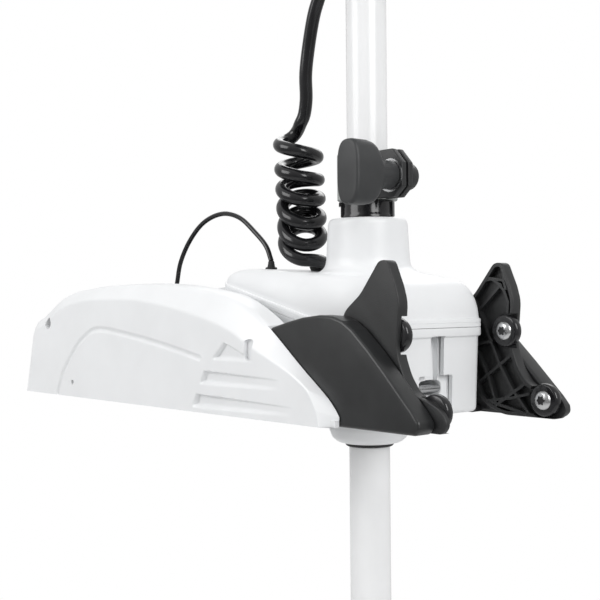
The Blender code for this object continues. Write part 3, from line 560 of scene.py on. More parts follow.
# %% [markdown]
# ## The cords
# The curly cord carries power and signals up to the control head. Such a cord is wound hot on a mandrel
# and springs back into its helix, so it is drawn as a helix and not as a cylinder. It crosses two joints:
# the steering tube turns, and the shaft slides. So it is made in two lengths that meet halfway up.
# Each one bends between two bodies. The thin cable is a plain loop from the base up to the dome, and it
# bends where the housing tilts.

# %% The curly cord
CORD = 9.9
COIL_X, COIL_Y = -72.7, 3.8
COIL_REACH = 14.1
LEAN = 0.042              # how far the coil leans over for each millimetre up
COIL_START = node_box("coil_cord_gland")[1].z
COIL_SPLIT = node_box("coil_cord_lower")[1].z
TAIL_ROUTE = [
    (-77, 5, 213.4), (-73, 5.5, 220), (-70, 5, 232), (-68, 3, 250), (-63, 2, 271), (-55.5, 0.5, 291),
    (-48.5, 0, 304), (-44, 0, 314.4),
]
FRONT_ANGLE = -41.0       # towards the viewer
FRONT_HEIGHTS = [109.3, 120.5, 136.7, 154.0, 171.4, 190.4]
TILTS = [10.5, 10.5, 8.7, 5.9, 2.5, 2.0]   # how far each turn dips at the front
START_ANGLE = 90.0
LAST_ANGLE = FRONT_ANGLE - 360.0 * (len(FRONT_HEIGHTS) - 1) - 139.0
COIL_STEPS = 40           # points in each turn


def coil_height(angle):
    """Centre height of the cord where it has wound to an angle, in degrees: the pitch opens upwards."""
    first = START_ANGLE - FRONT_ANGLE
    wound = START_ANGLE - angle
    if wound <= first:
        return COIL_START + (FRONT_HEIGHTS[0] - COIL_START) * (1 - (1 - wound / first) ** 2)
    turns = (wound - first) / 360
    middles = [height + dip for height, dip in zip(FRONT_HEIGHTS, TILTS)]
    middles.append(middles[-1] + 19.0)
    dips = TILTS + [2.0]
    k = min(int(turns), len(FRONT_HEIGHTS) - 1)
    share = turns - k
    middle = middles[k] + (middles[k + 1] - middles[k]) * share
    dip = dips[k] + (dips[k + 1] - dips[k]) * share
    return middle - dip * cos(radians(angle - FRONT_ANGLE))


def coil_point(angle):
    height = coil_height(angle)
    lean = LEAN * (height - COIL_START)
    turn = radians(angle)
    return (COIL_X - 0.65 * lean + COIL_REACH * cos(turn), COIL_Y - 0.75 * lean + COIL_REACH * sin(turn),
            height)


count = int((START_ANGLE - LAST_ANGLE) / 360 * COIL_STEPS)
coil = [coil_point(START_ANGLE + (LAST_ANGLE - START_ANGLE) * k / count) for k in range(count + 1)]
rise = [(-86.2, 5.5, 205.0), (-82.5, 7.0, 209.4)]
curly = through(coil + rise + TAIL_ROUTE, 2.5)
print("curly cord:", len(curly), "points, helix ends at", [round(value, 1) for value in coil[-1]])

# %% Split the curly cord where the two joints meet

def run(route):
    """Length along a route, in millimetres."""
    return sum((b - a).length for a, b in zip(route, route[1:]))


def cord_piece(name, route, radius, nodes):
    """A cord's mesh tube in the cord jacket finish; the nodes it stands for are hidden."""
    made = solid(name, tube(route, radius, 24), 60.0)
    made.data.materials.append(finishes["cord_jacket"])
    run(route) * MM
    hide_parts(*nodes)
    return made


split = max(k for k, place in enumerate(curly) if place.z <= COIL_SPLIT)
lower_route = curly[:split + 1]
upper_route = curly[split:]
curly_lower = cord_piece("curly_cord_lower", lower_route, CORD / 2, ["coil_cord_lower"])
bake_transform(curly_lower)
curly_upper = cord_piece("curly_cord_upper", upper_route, CORD / 2, ["coil_cord_upper", "coil_cord_tail"])
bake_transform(curly_upper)
print("curly cord:", round(run(curly)), "mm,", round(run(lower_route)), "and", round(run(upper_route)))

# %% The thin cable and the strain reliefs
THIN_CORD = 3.8
TOP_GLAND, BASE_GLAND = (-95, -10), (-236, -12)
CABLE_ROUTE = [
    (-236, -12, 14.6), (-234, -12, 40), (-229, -11, 68), (-222, -10, 93), (-216, -10, 112), (-202, -10, 130),
    (-182, -10, 144), (-157, -10, 149.5), (-134, -10, 145), (-114, -10, 132), (-101, -10, 121),
    (-95, -10, 109.8),
]
cable = through(CABLE_ROUTE, 3.0)
thin_cable = cord_piece("thin_cable_loop", cable, THIN_CORD / 2, ["thin_cable"])
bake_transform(thin_cable)
print("thin cable:", round(run(cable)), "mm")


def sleeve(route, start, end, ribs):
    """A tapered rubber sleeve round the first stretch of a route, with a ring at each rib."""
    radii = []
    for k in range(len(route)):
        share = k / (len(route) - 1)
        rib = 0.35 * max(0.0, cos(tau * share * ribs)) ** 2 if ribs and share < 0.9 else 0.0
        radii.append(start + (end - start) * share ** 0.8 + rib)
    return tube(route, radii, 32)


def straight(start, end, steps):
    a, b = Vector(start), Vector(end)
    return [a + (b - a) * k / steps for k in range(steps + 1)]


relief = curly[:5]
foot = relief[0] - (relief[1] - relief[0]).normalized() * 3.0
made = solid("curly_cord_relief", sleeve([foot] + relief, 5.9, 5.2, 0), 50.0)
placed(made, finishes["black_rubber"], "steering_housing", ["coil_cord_gland"])
low, high = node_box("cable_gland")
route = straight((*TOP_GLAND, low.z - 1.5), (*TOP_GLAND, high.z + 1.0), 24)
grommet = turned([(0, -1.0), (4.5, -1.0), (4.5, 0.6), (3.9, 1.1), (0, 1.1)], "Z", (*TOP_GLAND, low.z), 48)
made = solid("thin_cable_relief_top", joined(sleeve(route, 3.5, 2.1, 5), grommet), 50.0)
placed(made, finishes["black_rubber"], "steering_housing", ["cable_gland"])
low, high = node_box("base_cable_gland")
route = straight((*BASE_GLAND, low.z), (*BASE_GLAND, high.z), 28)
grommet = turned([(0, 0.0), (5.5, 0.0), (5.5, 1.6), (4.8, 2.3), (0, 2.3)], "Z", (*BASE_GLAND, low.z), 48)
made = solid("thin_cable_relief_base", joined(sleeve(route, 3.9, 2.1, 5), grommet), 50.0)
placed(made, finishes["black_rubber"], "base", ["base_cable_gland"])
print("strain reliefs:", PIECES)

# %% [markdown]
# ## Camera, floor and light
# The camera stands level with the base and looks across it at 49 degrees. The light is a bright, even
# studio: two large soft lamps, the key on the left and the fill right of the camera, and a strip from
# behind that draws the edges of the black parts.

# %% The camera
AZIMUTH = 49.0
DISTANCE = 0.816
AIM = Vector((0.1666, 0.0, 0.081))
toward = Vector((sin(radians(AZIMUTH)), -cos(radians(AZIMUTH)), 0.0))
camera = bpy.data.objects.new("camera", bpy.data.cameras.new("camera"))
bpy.context.collection.objects.link(camera)
camera.location = AIM + toward * DISTANCE
camera.rotation_mode = "QUATERNION"
camera.rotation_quaternion = (-toward).to_track_quat("-Z", "Y") @ Matrix.Rotation(radians(-0.5), 4,
                                                                                  "Z").to_quaternion()
camera.data.lens = 64.8
camera.data.sensor_width = 36.0
camera.data.shift_y = -0.0033
camera.data.clip_start = 0.01
bpy.context.scene.camera = camera
print("camera at", [round(value, 3) for value in camera.location])

# %% Floor, world and lamps
FLOOR_Z = cad_low.z - 0.003


def paint_floor():
    made = Finish("pale_floor", (0.8, 0.8, 0.8), 0.6)
    made.roughened(0.55 + made.noise(60.0, 2.0) * 0.1)
    return made.material


floor = solid("floor", turned([(0, -20.0), (2300, -20.0), (2300, 0.0), (0, 0.0)], "Z", (0, 0, FLOOR_Z / MM),
                              96))
floor.data.materials.append(paint_floor())
floor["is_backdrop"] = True
studio = bpy.data.worlds.new("studio")
studio.use_nodes = True
bpy.context.scene.world = studio
bpy.context.scene.view_settings.view_transform = "Standard"


def light_the_air(tree):
    """White wherever the camera looks past the object; as light, bright above and behind, dim in front."""
    sight = tree.nodes["Background"]
    sight.inputs["Color"].default_value = (1.0, 1.0, 1.0, 1.0)
    glow = tree.nodes.new("ShaderNodeBackground")
    way = tree.nodes.new("ShaderNodeTexCoord")
    facing = tree.nodes.new("ShaderNodeVectorMath")
    facing.operation = "DOT_PRODUCT"
    facing.inputs[1].default_value = (-toward.x * 0.5, -toward.y * 0.5, 0.8)
    spread = tree.nodes.new("ShaderNodeMapRange")
    spread.inputs[1].default_value = -0.8
    spread.inputs[2].default_value = 0.7
    spread.inputs[3].default_value = AIR_DIM
    spread.inputs[4].default_value = AIR_BRIGHT
    share = tree.nodes.new("ShaderNodeMixShader")
    ray = tree.nodes.new("ShaderNodeLightPath")
    tree.links.new(way.outputs["Generated"], facing.inputs[0])
    tree.links.new(facing.outputs["Value"], spread.inputs[0])
    tree.links.new(spread.outputs[0], glow.inputs["Strength"])
    tree.links.new(ray.outputs["Is Camera Ray"], share.inputs[0])
    tree.links.new(glow.outputs[0], share.inputs[1])
    tree.links.new(sight.outputs[0], share.inputs[2])
    tree.links.new(share.outputs[0], tree.nodes["World Output"].inputs["Surface"])


AIR_DIM = 0.34
AIR_BRIGHT = 0.9
light_the_air(studio.node_tree)


def lamp(name, azimuth, height, distance, wide, tall, power):
    """A soft area lamp round the object, pointed at the middle of the base."""
    made = bpy.data.objects.new(name, bpy.data.lights.new(name, "AREA"))
    bpy.context.collection.objects.link(made)
    turn = radians(azimuth)
    offset = Vector((sin(turn) * distance, -cos(turn) * distance, height))
    made.location = AIM + offset
    made.rotation_mode = "QUATERNION"
    made.rotation_quaternion = (-offset).to_track_quat("-Z", "Y")
    made.data.shape = "RECTANGLE"
    made.data.size = wide
    made.data.size_y = tall
    made.data.energy = power


lamp("key", AZIMUTH - 68, 0.8, 1.5, 1.1, 1.1, 15)
lamp("fill", AZIMUTH + 32, 0.7, 1.5, 0.9, 0.9, 15)
lamp("rim", AZIMUTH + 165, 1.2, 1.6, 1.6, 0.8, 8)

# %% [markdown]
# ## The side covers
# Each side cover is one big injection-moulded shell: a tall outer wall, a sloping band above it, and a
# narrow top. Its outer wall carries an arched groove and three slanted scoops that fade towards the front.
# A screw sits in a round pocket at the back, and a tall open pocket is cut at the front. The scoops have
# no sharp ends, so cutting them with solids would look wrong. The wall is a fine grid instead, and each
# point is pushed in by a depth that a formula gives for its place. Only the pockets and the small hole,
# which have steep walls, are cut with a Boolean.

# %% Outlines and the depth of the pressed features
COVER_EDGE = [
    (-352, 0), (-351, 55), (-329, 68), (-300, 82), (-275, 88), (-229, 92), (-165, 92.5), (-115, 90),
    (-65, 83), (-40, 74), (-18, 61.5), (15, 36), (40, 17.5), (50, 6.5), (50, 0),
]
COVER_CREASE = [
    (-350, 0), (-337, 50), (-312, 62), (-290, 73), (-268, 78), (-235, 81), (-176, 81), (-125, 75.5),
    (-75, 66), (-48, 58), (-25.5, 48), (11, 34), (30, 23), (38.5, 10), (41, 0),
]
COVER_BAND = 9.0          # how far the sloping band leans in
CREASE_ROUND, RIM_ROUND, LIP_ROUND = 1.6, 3.2, 1.2
SILL_HIGH, SILL_IN = 4.5, 79.5
COVER_NOSE_X = -20.0      # ahead of this the cover wraps the ramp's shell
GROOVE = [(-294, 1), (-285, 18), (-269, 35), (-252, 48), (-227, 57), (-177, 53), (-133, 47), (-86, 39)]
GROOVE_DEEP = 1.4
SCOOP_DEEP = 3.4
# each scoop: its upper edge, its lower edge and its blunt left end, as lines from one point to another
SCOOPS = [
    (((-57, 51), (-24, 40)), ((-70, 38), (-24, 37.5)), ((-70, 39), (-56, 51.5))),
    (((-86, 30.5), (3, 28)), ((-86, 20), (3, 20)), ((-87, 19), (-80, 31))),
    (((-96, 13.5), (16, 11)), ((-96, 3), (16, 4)), ((-96, 2.5), (-90, 14))),
]
SCREW_POCKET = (-310.0, 61.0, 5.0)
POCKET_DEEP, TALL_POCKET_DEEP = 6.5, 3.4
TALL_POCKET = [(-34.5, 39.0), (-25.5, 39.0), (-25.5, 53.5), (-34.5, 53.5)]
SMALL_HOLE = (-268.0, 12.0, 2.0)


def line_at(line, along, axis=0):
    """The other coordinate of a line where its own coordinate is along."""
    (a, b), (c, d) = line
    if axis == 0:
        return b + (d - b) * (along - a) / (c - a)
    return a + (c - a) * (along - b) / (d - b)


def eased(values):
    """Clipped to 0 to 1 and eased at both ends."""
    clipped = np.clip(values, 0.0, 1.0)
    return clipped * clipped * (3.0 - 2.0 * clipped)


def pressed(x, z):
    """How deep the outer wall is pressed in at each place, in millimetres."""
    route = np.array([(p.x, p.y) for p in through([(*p, 0.0) for p in GROOVE], 1.0)])
    nearest = np.full(x.shape, 1e9)
    for a, b in route:
        nearest = np.minimum(nearest, np.hypot(x - a, z - b))
    depth = GROOVE_DEEP * eased((2.3 - nearest) / 1.4)
    for upper, lower, end in SCOOPS:
        first, last = end[0][0], upper[1][0]
        share = np.clip((x - first) / (last - first), 0.0, 1.0)
        below = eased((line_at(upper, x) - z) / 1.2)
        above = eased((z - line_at(lower, x)) / 3.5)
        ahead = eased((x - line_at(end, z, 1)) / 2.4)
        depth = np.maximum(depth, SCOOP_DEEP * (1.0 - share) ** 0.8 * below * above * ahead)
    return depth


print("pressed 2 mm into the middle scoop:", round(float(pressed(np.array([-78.0]), np.array([25.0]))[0]),
                                                   2))

# %% Loft a side cover
COLUMNS = 430
WALL_ROWS = 84


def matched(count):
    """The crease and the edge, smoothly sampled at matching places; one column splits at the nose."""
    crease = [Vector(p) for p in COVER_CREASE]
    edge = [Vector(p) for p in COVER_EDGE]
    spans = [max((b - a).length, (d - c).length) for a, b, c, d in zip(crease, crease[1:], edge, edge[1:])]
    whole = sum(spans)
    pairs = []
    for k, span in enumerate(spans):
        steps = max(2, round(count * span / whole))
        lines = [crease, edge]
        for j in range(steps):
            t = j / steps
            places = []
            for line in lines:
                a, b = line[max(k - 1, 0)], line[k]
                c, d = line[k + 1], line[min(k + 2, len(line) - 1)]
                tight = 0.35 if 0 < k < len(spans) - 1 else 0.0
                straight_way = b + (c - b) * t
                curved = 0.5 * (2 * b + (c - a) * t + (2 * a - 5 * b + 4 * c - d) * t * t
                                + (3 * b - a - 3 * c + d) * t ** 3)
                places.append(straight_way * (1 - 2 * tight) + curved * 2 * tight)
            pairs.append(tuple(places))
    pairs.append((crease[-1], edge[-1]))
    return pairs


def fillet(before, corner, after, radius, steps):
    """Points that round the corner between two others, in space."""
    back, ahead = before - corner, after - corner
    reach = min(radius, 0.45 * back.length, 0.45 * ahead.length)
    start = corner + back.normalized() * reach if back.length > 1e-6 else corner
    end = corner + ahead.normalized() * reach if ahead.length > 1e-6 else corner
    return [start * (1 - t) ** 2 + corner * 2 * t * (1 - t) + end * t * t
            for t in (j / steps for j in range(steps + 1))]


def cover_section(crease, edge, inner):
    """One section of the cover, from the foot of the outer wall round to the inside."""
    foot = Vector((crease.x, COVER_OUT, 0.0))
    shoulder = Vector((crease.x, COVER_OUT, crease.y))
    rim = Vector((edge.x, COVER_OUT - COVER_BAND, edge.y))
    top = Vector((edge.x, inner, edge.y + min(1.0, edge.y * 0.1) if inner < COVER_OUT - COVER_BAND - 2
                  else edge.y))
    first = fillet(foot, shoulder, rim, CREASE_ROUND, 5)
    second = fillet(shoulder, rim, top, RIM_ROUND, 5)
    third = fillet(rim, top, Vector((edge.x, inner, 0.0)), LIP_ROUND, 3)
    sill = min(SILL_HIGH, edge.y)
    tail = [Vector((edge.x, inner, sill)), Vector((edge.x, max(inner, SILL_IN), sill)),
            Vector((edge.x, max(inner, SILL_IN), 0.0))]
    wall = [foot + (first[0] - foot) * j / WALL_ROWS for j in range(WALL_ROWS)]
    band = [first[-1] + (second[0] - first[-1]) * j / 6 for j in range(1, 6)]
    return wall + first + band + second + third + tail


def cover_shape():
    rings = []
    split_made = False
    for crease, edge in matched(COLUMNS):
        if edge.x > COVER_NOSE_X and not split_made:
            rings.append(cover_section(crease, edge, COVER_IN))
            split_made = True
        rings.append(cover_section(crease, edge, RAMP_COVER_OUT + 0.6 if split_made else COVER_IN))
    grid = np.array([[tuple(p) for p in ring] for ring in rings])
    wall = grid[:, :WALL_ROWS]
    near_edge = np.clip(np.arange(WALL_ROWS)[::-1] / 3.0, 0.0, 1.0)
    wall[:, :, 1] -= pressed(wall[:, :, 0], wall[:, :, 2]) * near_edge
    return loft([[tuple(p) for p in ring] for ring in grid.tolist()])


cover = cover_shape()
print("side cover:", len(cover[0]), "points")

# %% Place both covers and their screws

def pocket(x, z, radius, deep, side):
    low, high = COVER_OUT - deep, COVER_OUT + 6.0
    return sided(turned([(0, low), (radius - 0.5, low), (radius, low + 0.5), (radius, high), (0, high)],
                        "Y", (x, 0, z), 48), side)


def pan_screw(radius, length, head, thread=0.5):
    """A pan-head screw along +Y, from its shank to its head."""
    profile = [(0, -length), (radius * thread, -length), (radius * thread, 0), (radius, 0)]
    profile += [(radius * cos(t), head * (0.3 + 0.7 * sin(t))) for t in (0.0, 0.25, 0.5, 0.8, 1.1)]
    profile += [(0.0, head)]
    return turned(profile, "Y", (0, 0, 0), 40)


def socket(radius, low, high):
    """A six-lobed star outline, pushed along Y."""
    outline = []
    for k in range(48):
        turn = tau * k / 48
        reach = radius * (0.86 + 0.14 * cos(6 * turn))
        outline.append((reach * cos(turn), reach * sin(turn)))
    return slab(outline, low, high, "Y")


def moved(shape, x=0.0, y=0.0, z=0.0):
    points, faces = shape
    return [(a + x, b + y, c + z) for a, b, c in points], faces


for name, side in SIDES.items():
    made = solid(f"side_cover_shell_{name}", sided(cover, side), 50.0)
    cuts = [pocket(*SCREW_POCKET, POCKET_DEEP, side), pocket(*SMALL_HOLE, 4.0, side)]
    cuts.append(sided(slab(rounded(TALL_POCKET, 4.3, 8), COVER_OUT - TALL_POCKET_DEEP, COVER_OUT + 6.0, "Y"),
                      side))
    carved(made, "DIFFERENCE", cuts, 50.0)
    placed(made, finishes["white_moulding"], "base", [f"side_cover_{name}"])
    x, z, radius = SCREW_POCKET
    head = moved(pan_screw(radius - 1.6, 4.0, 1.6), y=COVER_OUT - 6.0)
    screw = solid(f"cover_screw_{name}", sided(moved(head, x=x, z=z), side))
    hollow = moved(socket(1.9, COVER_OUT - 5.5, COVER_OUT - 3.0), x=x, z=z)
    carved(screw, "DIFFERENCE", [sided(hollow, side)])
    placed(screw, finishes["black_coat"], "base")
    x, z, radius = SMALL_HOLE
    plug = moved(pan_screw(radius - 0.1, 1.5, 0.6), x=x, y=COVER_OUT - 3.6, z=z)
    placed(solid(f"cover_plug_{name}", sided(plug, side)), finishes["black_coat"], "base")
print("pieces so far:", len(PIECES))

# %% [markdown]
# ## The ramp shells and the ramps
# A black shell covers each arm of the base. In front of it stands the ramp: an upright rib-backed fin of
# glass-filled nylon. It catches the motor when it is stowed. A real one is a thin web with a rim and ribs on
# its inner side, so it is built that way: a slab, a pocket that leaves the rim and the web, then
# one thin rib after another joined on.

# %% Ramp shells
RAMP_COVER_EDGE = [
    (-19, 0), (-19, 61), (0, 65.6), (14, 68.4), (30, 70), (42, 69.4), (52, 66.6), (61, 61.2), (75, 49.3),
    (88, 37),
    (111, 14), (116, 8), (116.5, 3.5), (113, 0),
]
outline = rounded(RAMP_COVER_EDGE, 4.0, 6)
for name, side in SIDES.items():
    shell = slab(outline, RAMP_OUT + 0.6, RAMP_COVER_OUT, "Y", 2.0, 4)
    made = solid(f"ramp_shell_{name}", sided(shell, side), 30.0)
    placed(made, finishes["ramp_shell"], "base", [f"ramp_cover_{name}"])
print("ramp shells:", len(outline), "points round each")

# %% Ramps
RAMP_EDGE = [
    (57, 9), (34, 69), (53, 83), (70, 104), (77, 104), (84, 88), (87, 78), (86, 66), (84, 48),
    (90, 33), (98, 22), (110, 19), (121, 14), (125, 6), (121, 0.3), (76, 0.3),
]
RIM = 2.6
WEB_LOW = 56.3
RIB = 1.9
RIBS = [
    [(67, 101.5), (61, 94), (78, 92)], [(79, 100), (78, 92), (80, 86)],
    [(50, 89), (61, 92), (68, 93), (75, 89), (79, 84), (82, 77), (81, 67)],
    [(76, 89), (57, 72), (40, 66)], [(50, 80), (59, 66), (63, 59), (74, 35), (84, 19), (99, 2)],
    [(40, 58), (54, 42), (64, 27), (71, 7)], [(50, 19), (63, 9), (97, 2)], [(84, 41), (54, 20)],
    [(98, 24), (72, 7), (63, 0)], [(45, 46), (66, 50), (84, 60)], [(104, 17), (84, 12), (63, 9)],
]
ROLLERS = {}
for key in ("upper", "lower"):
    low, high = node_box(f"{key}_roller_left")
    ROLLERS[key] = ((low.x + high.x) / 2, (low.z + high.z) / 2, (high.z - low.z) / 2)


def strip(points, half, low, high):
    """A rib of even thickness along a line, pushed along Y; one slab for each stretch."""
    shapes = []
    for a, b in zip(points, points[1:]):
        along = (Vector(b) - Vector(a)).normalized()
        across = Vector((-along.y, along.x)) * half
        start, end = Vector(a) - along * half * 0.6, Vector(b) + along * half * 0.6
        corners = [start + across, start - across, end - across, end + across]
        shapes.append(slab([tuple(p) for p in corners], low, high, "Y"))
    return shapes


edge = rounded(RAMP_EDGE, 30.0, 8)
inner = inset(edge, RIM)
seats = []
bosses = []
for x, z, radius in ROLLERS.values():
    seat = rounded([(x - 11.8, z - 11.8), (x + 22, z - 11.8), (x + 22, z + 11.8), (x - 11.8, z + 11.8)],
                   11.5, 10)
    seats.append((x, z, seat))
    bosses.append(turned([(3.3, RAMP_IN + 5.4), (7.4, RAMP_IN + 5.4), (7.4, RAMP_OUT - 0.2),
                          (3.3, RAMP_OUT - 0.2)],
                         "Y", (x, 0, z), 40))
for name, side in SIDES.items():
    made = solid(f"ramp_fin_{name}", sided(slab(edge, RAMP_IN, RAMP_OUT, "Y", 0.7, 3), side), 30.0)
    carved(made, "DIFFERENCE", [sided(slab(inner, RAMP_IN - 3, WEB_LOW, "Y"), side)])
    ribs = [sided(shape, side) for line in RIBS
            for shape in strip(line, RIB / 2, RAMP_IN + 0.2, WEB_LOW + 0.6)]
    carved(made, "UNION", ribs)
    carved(made, "INTERSECT", [sided(slab(edge, RAMP_IN - 0.01, RAMP_OUT + 0.01, "Y", 0.7, 3), side)])
    cuts = [sided(slab(seat, RAMP_IN - 3, RAMP_OUT - 3.2, "Y"), side) for x, z, seat in seats]
    carved(made, "DIFFERENCE", cuts)
    carved(made, "UNION", [sided(turned([(3.4, WEB_LOW + 0.2), (6.6, WEB_LOW + 0.2), (6.6, WEB_LOW + 0.9),
                                         (3.4, WEB_LOW + 0.9)],
                                        "Y", (x, 0, z), 40), side) for x, z, seat in seats])
    bores = [sided(turned([(0, RAMP_IN - 5), (3.3, RAMP_IN - 5), (3.3, RAMP_OUT - 0.8), (0, RAMP_OUT - 0.8)],
                          "Y", (x, 0, z), 24), side) for x, z, seat in seats]
    carved(made, "DIFFERENCE", bores)
    placed(made, finishes["black_moulding"], "base", [f"ramp_{name}"])
print("ramps with", len(RIBS), "ribs each")

# %% Rollers and their screws
for key, (x, z, radius) in ROLLERS.items():
    for name, side in SIDES.items():
        low, high = node_box(f"{key}_roller_left")
        wheel = [(3.3, low.y), (radius - 1.6, low.y), (radius - 0.5, low.y + 0.5), (radius, low.y + 1.6),
                 (radius, high.y - 1.6), (radius - 0.5, high.y - 0.5), (radius - 1.6, high.y), (3.3, high.y)]
        made = solid(f"{key}_ramp_wheel_{name}", sided(turned(wheel, "Y", (x, 0, z), 72), side), 50.0)
        placed(made, finishes["gloss_black"], f"{key}_roller_{name}", [f"{key}_roller_{name}"])
        low, high = node_box(f"{key}_roller_screw_left")
        face = [(0, low.y), (2.4, low.y + 0.1), (4.3, low.y + 0.6), (5.6, low.y + 1.4), (6.3, low.y + 2.2),
                (6.4, low.y + 2.5), (3.0, low.y + 2.5), (3.0, RAMP_OUT - 1.2), (0, RAMP_OUT - 1.2)]
        made = solid(f"{key}_wheel_screw_{name}", sided(turned(face, "Y", (x, 0, z), 48), side), 40.0)
        star = moved(socket(3.3, low.y - 2, low.y + 2.3), x=x, z=z)
        carved(made, "DIFFERENCE", [sided(star, side)], 40.0)
        placed(made, finishes["steel"], "base", [f"{key}_roller_screw_{name}"])
        # A black disc just below the screw's face stands for the shade inside the star socket: painted
        # shade.
        star_shade_disc = moved(socket(3.2, low.y + 0.9, low.y + 2.2), x=x, z=z)
        plug = solid(f"{key}_screw_socket_{name}", sided(star_shade_disc, side), 40.0)
        placed(plug, finishes["black_coat"], "base")
print("pieces so far:", len(PIECES))

# %% [markdown]
# ## The steering housing
# The housing is two mouldings with a black gasket between their flanges. The upper one is a dome that
# flows up into a round neck, so it is lofted: its rings start as the rounded rectangle of the flange and
# end as circles, and each ring has the same count of points. The lower one tucks under at the back, so
# that it clears the base when it tilts.

# %% Heights and rings of the housing
HOUSING_FRONT, HOUSING_BACK, HOUSING_HALF = 64.5, -112.5, 48.3
WALL = 3.0
FLANGE_PROUD, FLANGE_HIGH = 1.5, 6.0
SEAM_Z, SEAM_CLIMB = 61.0, 0.255
CROWN_Z, CROWN_CLIMB = 97.0, 0.055
NECK_TOP = node_box("housing_cover")[1].z


def seam(x):
    """Height of the parting line: level in front of the shaft, climbing behind it."""
    return SEAM_Z + (hypot(x, 6.0) - x - 6.0) / 2 * SEAM_CLIMB


def crown(x):
    return CROWN_Z - CROWN_CLIMB * x


def housing_ring(proud, back=HOUSING_BACK):
    """The housing from above, grown outwards; the same count of points each time."""
    front, half = HOUSING_FRONT + proud, HOUSING_HALF + proud
    front_corner, back_corner = 10.0 + proud, 18.0 + proud
    back -= proud
    edge = [(front, (half - front_corner) * share) for share in (0.0, 0.16, 0.34, 0.55, 0.78)]
    edge += arc((front - front_corner, half - front_corner), front_corner, 0, 90, 10)
    start = front - front_corner
    length = start - back - back_corner
    edge += [(start - length * k / 30, half) for k in range(1, 30)]
    edge += arc((back + back_corner, half - back_corner), back_corner, 90, 180, 10)
    edge += [(back, (half - back_corner) * share) for share in (0.75, 0.5, 0.25, 0.0)]
    return edge + [(x, -y) for x, y in reversed(edge[1:-1])]


def level(outline, height):
    return [(x, y, height(x) if callable(height) else height) for x, y in outline]


def dome_ring(deep, sink):
    """A ring of the dome: deep is how far in from the edge, and the shoulder is a quarter round."""
    points = []
    for x, y in housing_ring(0.0 if sink == 0 else -WALL):
        reach = hypot(x, y)
        way = reach - 36.5
        share = min(0.93, 0.05 + (deep - 0.8) * 0.052) if deep > 0.8 else deep * 0.0625
        step = min(deep, way * share)
        shoulder = min(20.0, way)
        rise = sqrt(max(0.0, 1.0 - (1.0 - min(1.0, step / shoulder)) ** 2))
        low, high = seam(x) + FLANGE_HIGH + 0.2 - sink, crown(x) - sink
        points.append((x * (reach - step) / reach, y * (reach - step) / reach, low + (high - low) * rise))
    return points


def neck_ring(radius, height):
    """A circle whose points lie in the directions of the outline's own points."""
    return [(x * radius / hypot(x, y), y * radius / hypot(x, y), height) for x, y in housing_ring(0.0)]


def between(first, second, share, lift):
    """A ring part of the way from one ring to another, with an ease in its height."""
    return [tuple(Vector(a).lerp(Vector(b), share) + Vector((0, 0, lift))) for a, b in zip(first, second)]


def housing_cover_shape():
    proud = FLANGE_PROUD
    rings = [level(housing_ring(p), lambda x, h=h: seam(x) + h) for p, h in (
        (proud - 0.2, 0.14), (proud, 0.35), (proud, 2.7), (proud - 0.3, 2.85), (proud - 0.3, 3.15),
        (proud, 3.3),
        (proud, FLANGE_HIGH - 1.0), (proud - 0.3, FLANGE_HIGH - 0.3), (proud - 0.9, FLANGE_HIGH),
        (0.35, FLANGE_HIGH + 0.05))]
    domes = [dome_ring(deep, 0.0) for deep in (0.05, 0.2, 0.5, 1.0, 1.7, 2.6, 3.8, 5.2, 7.0, 9.0, 11.5, 14.0,
                                               17.0, 20.0)]
    neck = through([(36, 98.6, 0), (34.0, 99.6, 0), (31.0, 102.2, 0), (29.6, 106.5, 0), (29.1, 113, 0),
                    (28.7, 121, 0),
                    (28.2, 129.5, 0), (27.9, 132.6, 0), (27.0, 134.8, 0), (25.4, NECK_TOP, 0)], 1.2)
    necks = [neck_ring(p.x, p.y) for p in neck]
    middle = [between(domes[-1], necks[0], share, 0.0) for share in (0.25, 0.5, 0.75)]
    inside = [neck_ring(20.2, NECK_TOP), neck_ring(20.2, 131.5), neck_ring(25.2, 131.0),
              neck_ring(28.0, 98.0)]
    under = [dome_ring(deep, WALL) for deep in (18.0, 9.0, 3.5)]
    foot = [level(housing_ring(-WALL), lambda x, h=h: seam(x) + h) for h in (FLANGE_HIGH - WALL, 0.5)]
    return loft(rings + domes + middle + necks + inside + under + foot, True)


made = solid("housing_dome", housing_cover_shape(), 38.0)
placed(made, finishes["white_moulding"], "steering_housing", ["housing_cover"])
rings = [level(housing_ring(p), lambda x, h=h: seam(x) + h) for p, h in (
    (-0.2, -0.12), (0.0, 0.0), (-0.2, 0.12), (-WALL + 0.2, 0.12), (-WALL + 0.2, -0.12))]
made = solid("housing_seal_line", loft(rings, True), 60.0)
placed(made, finishes["black_rubber"], "steering_housing", ["housing_gasket"])

# %% The lower case, its liner and the bar
CASE_LEVELS = [(53, -105), (46, -101), (38, -97), (30, -93), (23, -87.5), (17, -82), (12, -76.5), (8, -71),
               (5.2, -67)]
CHANNEL = rounded([(-6, 24), (7, 24), (7, 55), (-6, 55)], 1.2, 3)
POCKET = rounded([(-17, 5.5), (16, 5.5), (16, 29), (-17, 29)], 1.8, 4)


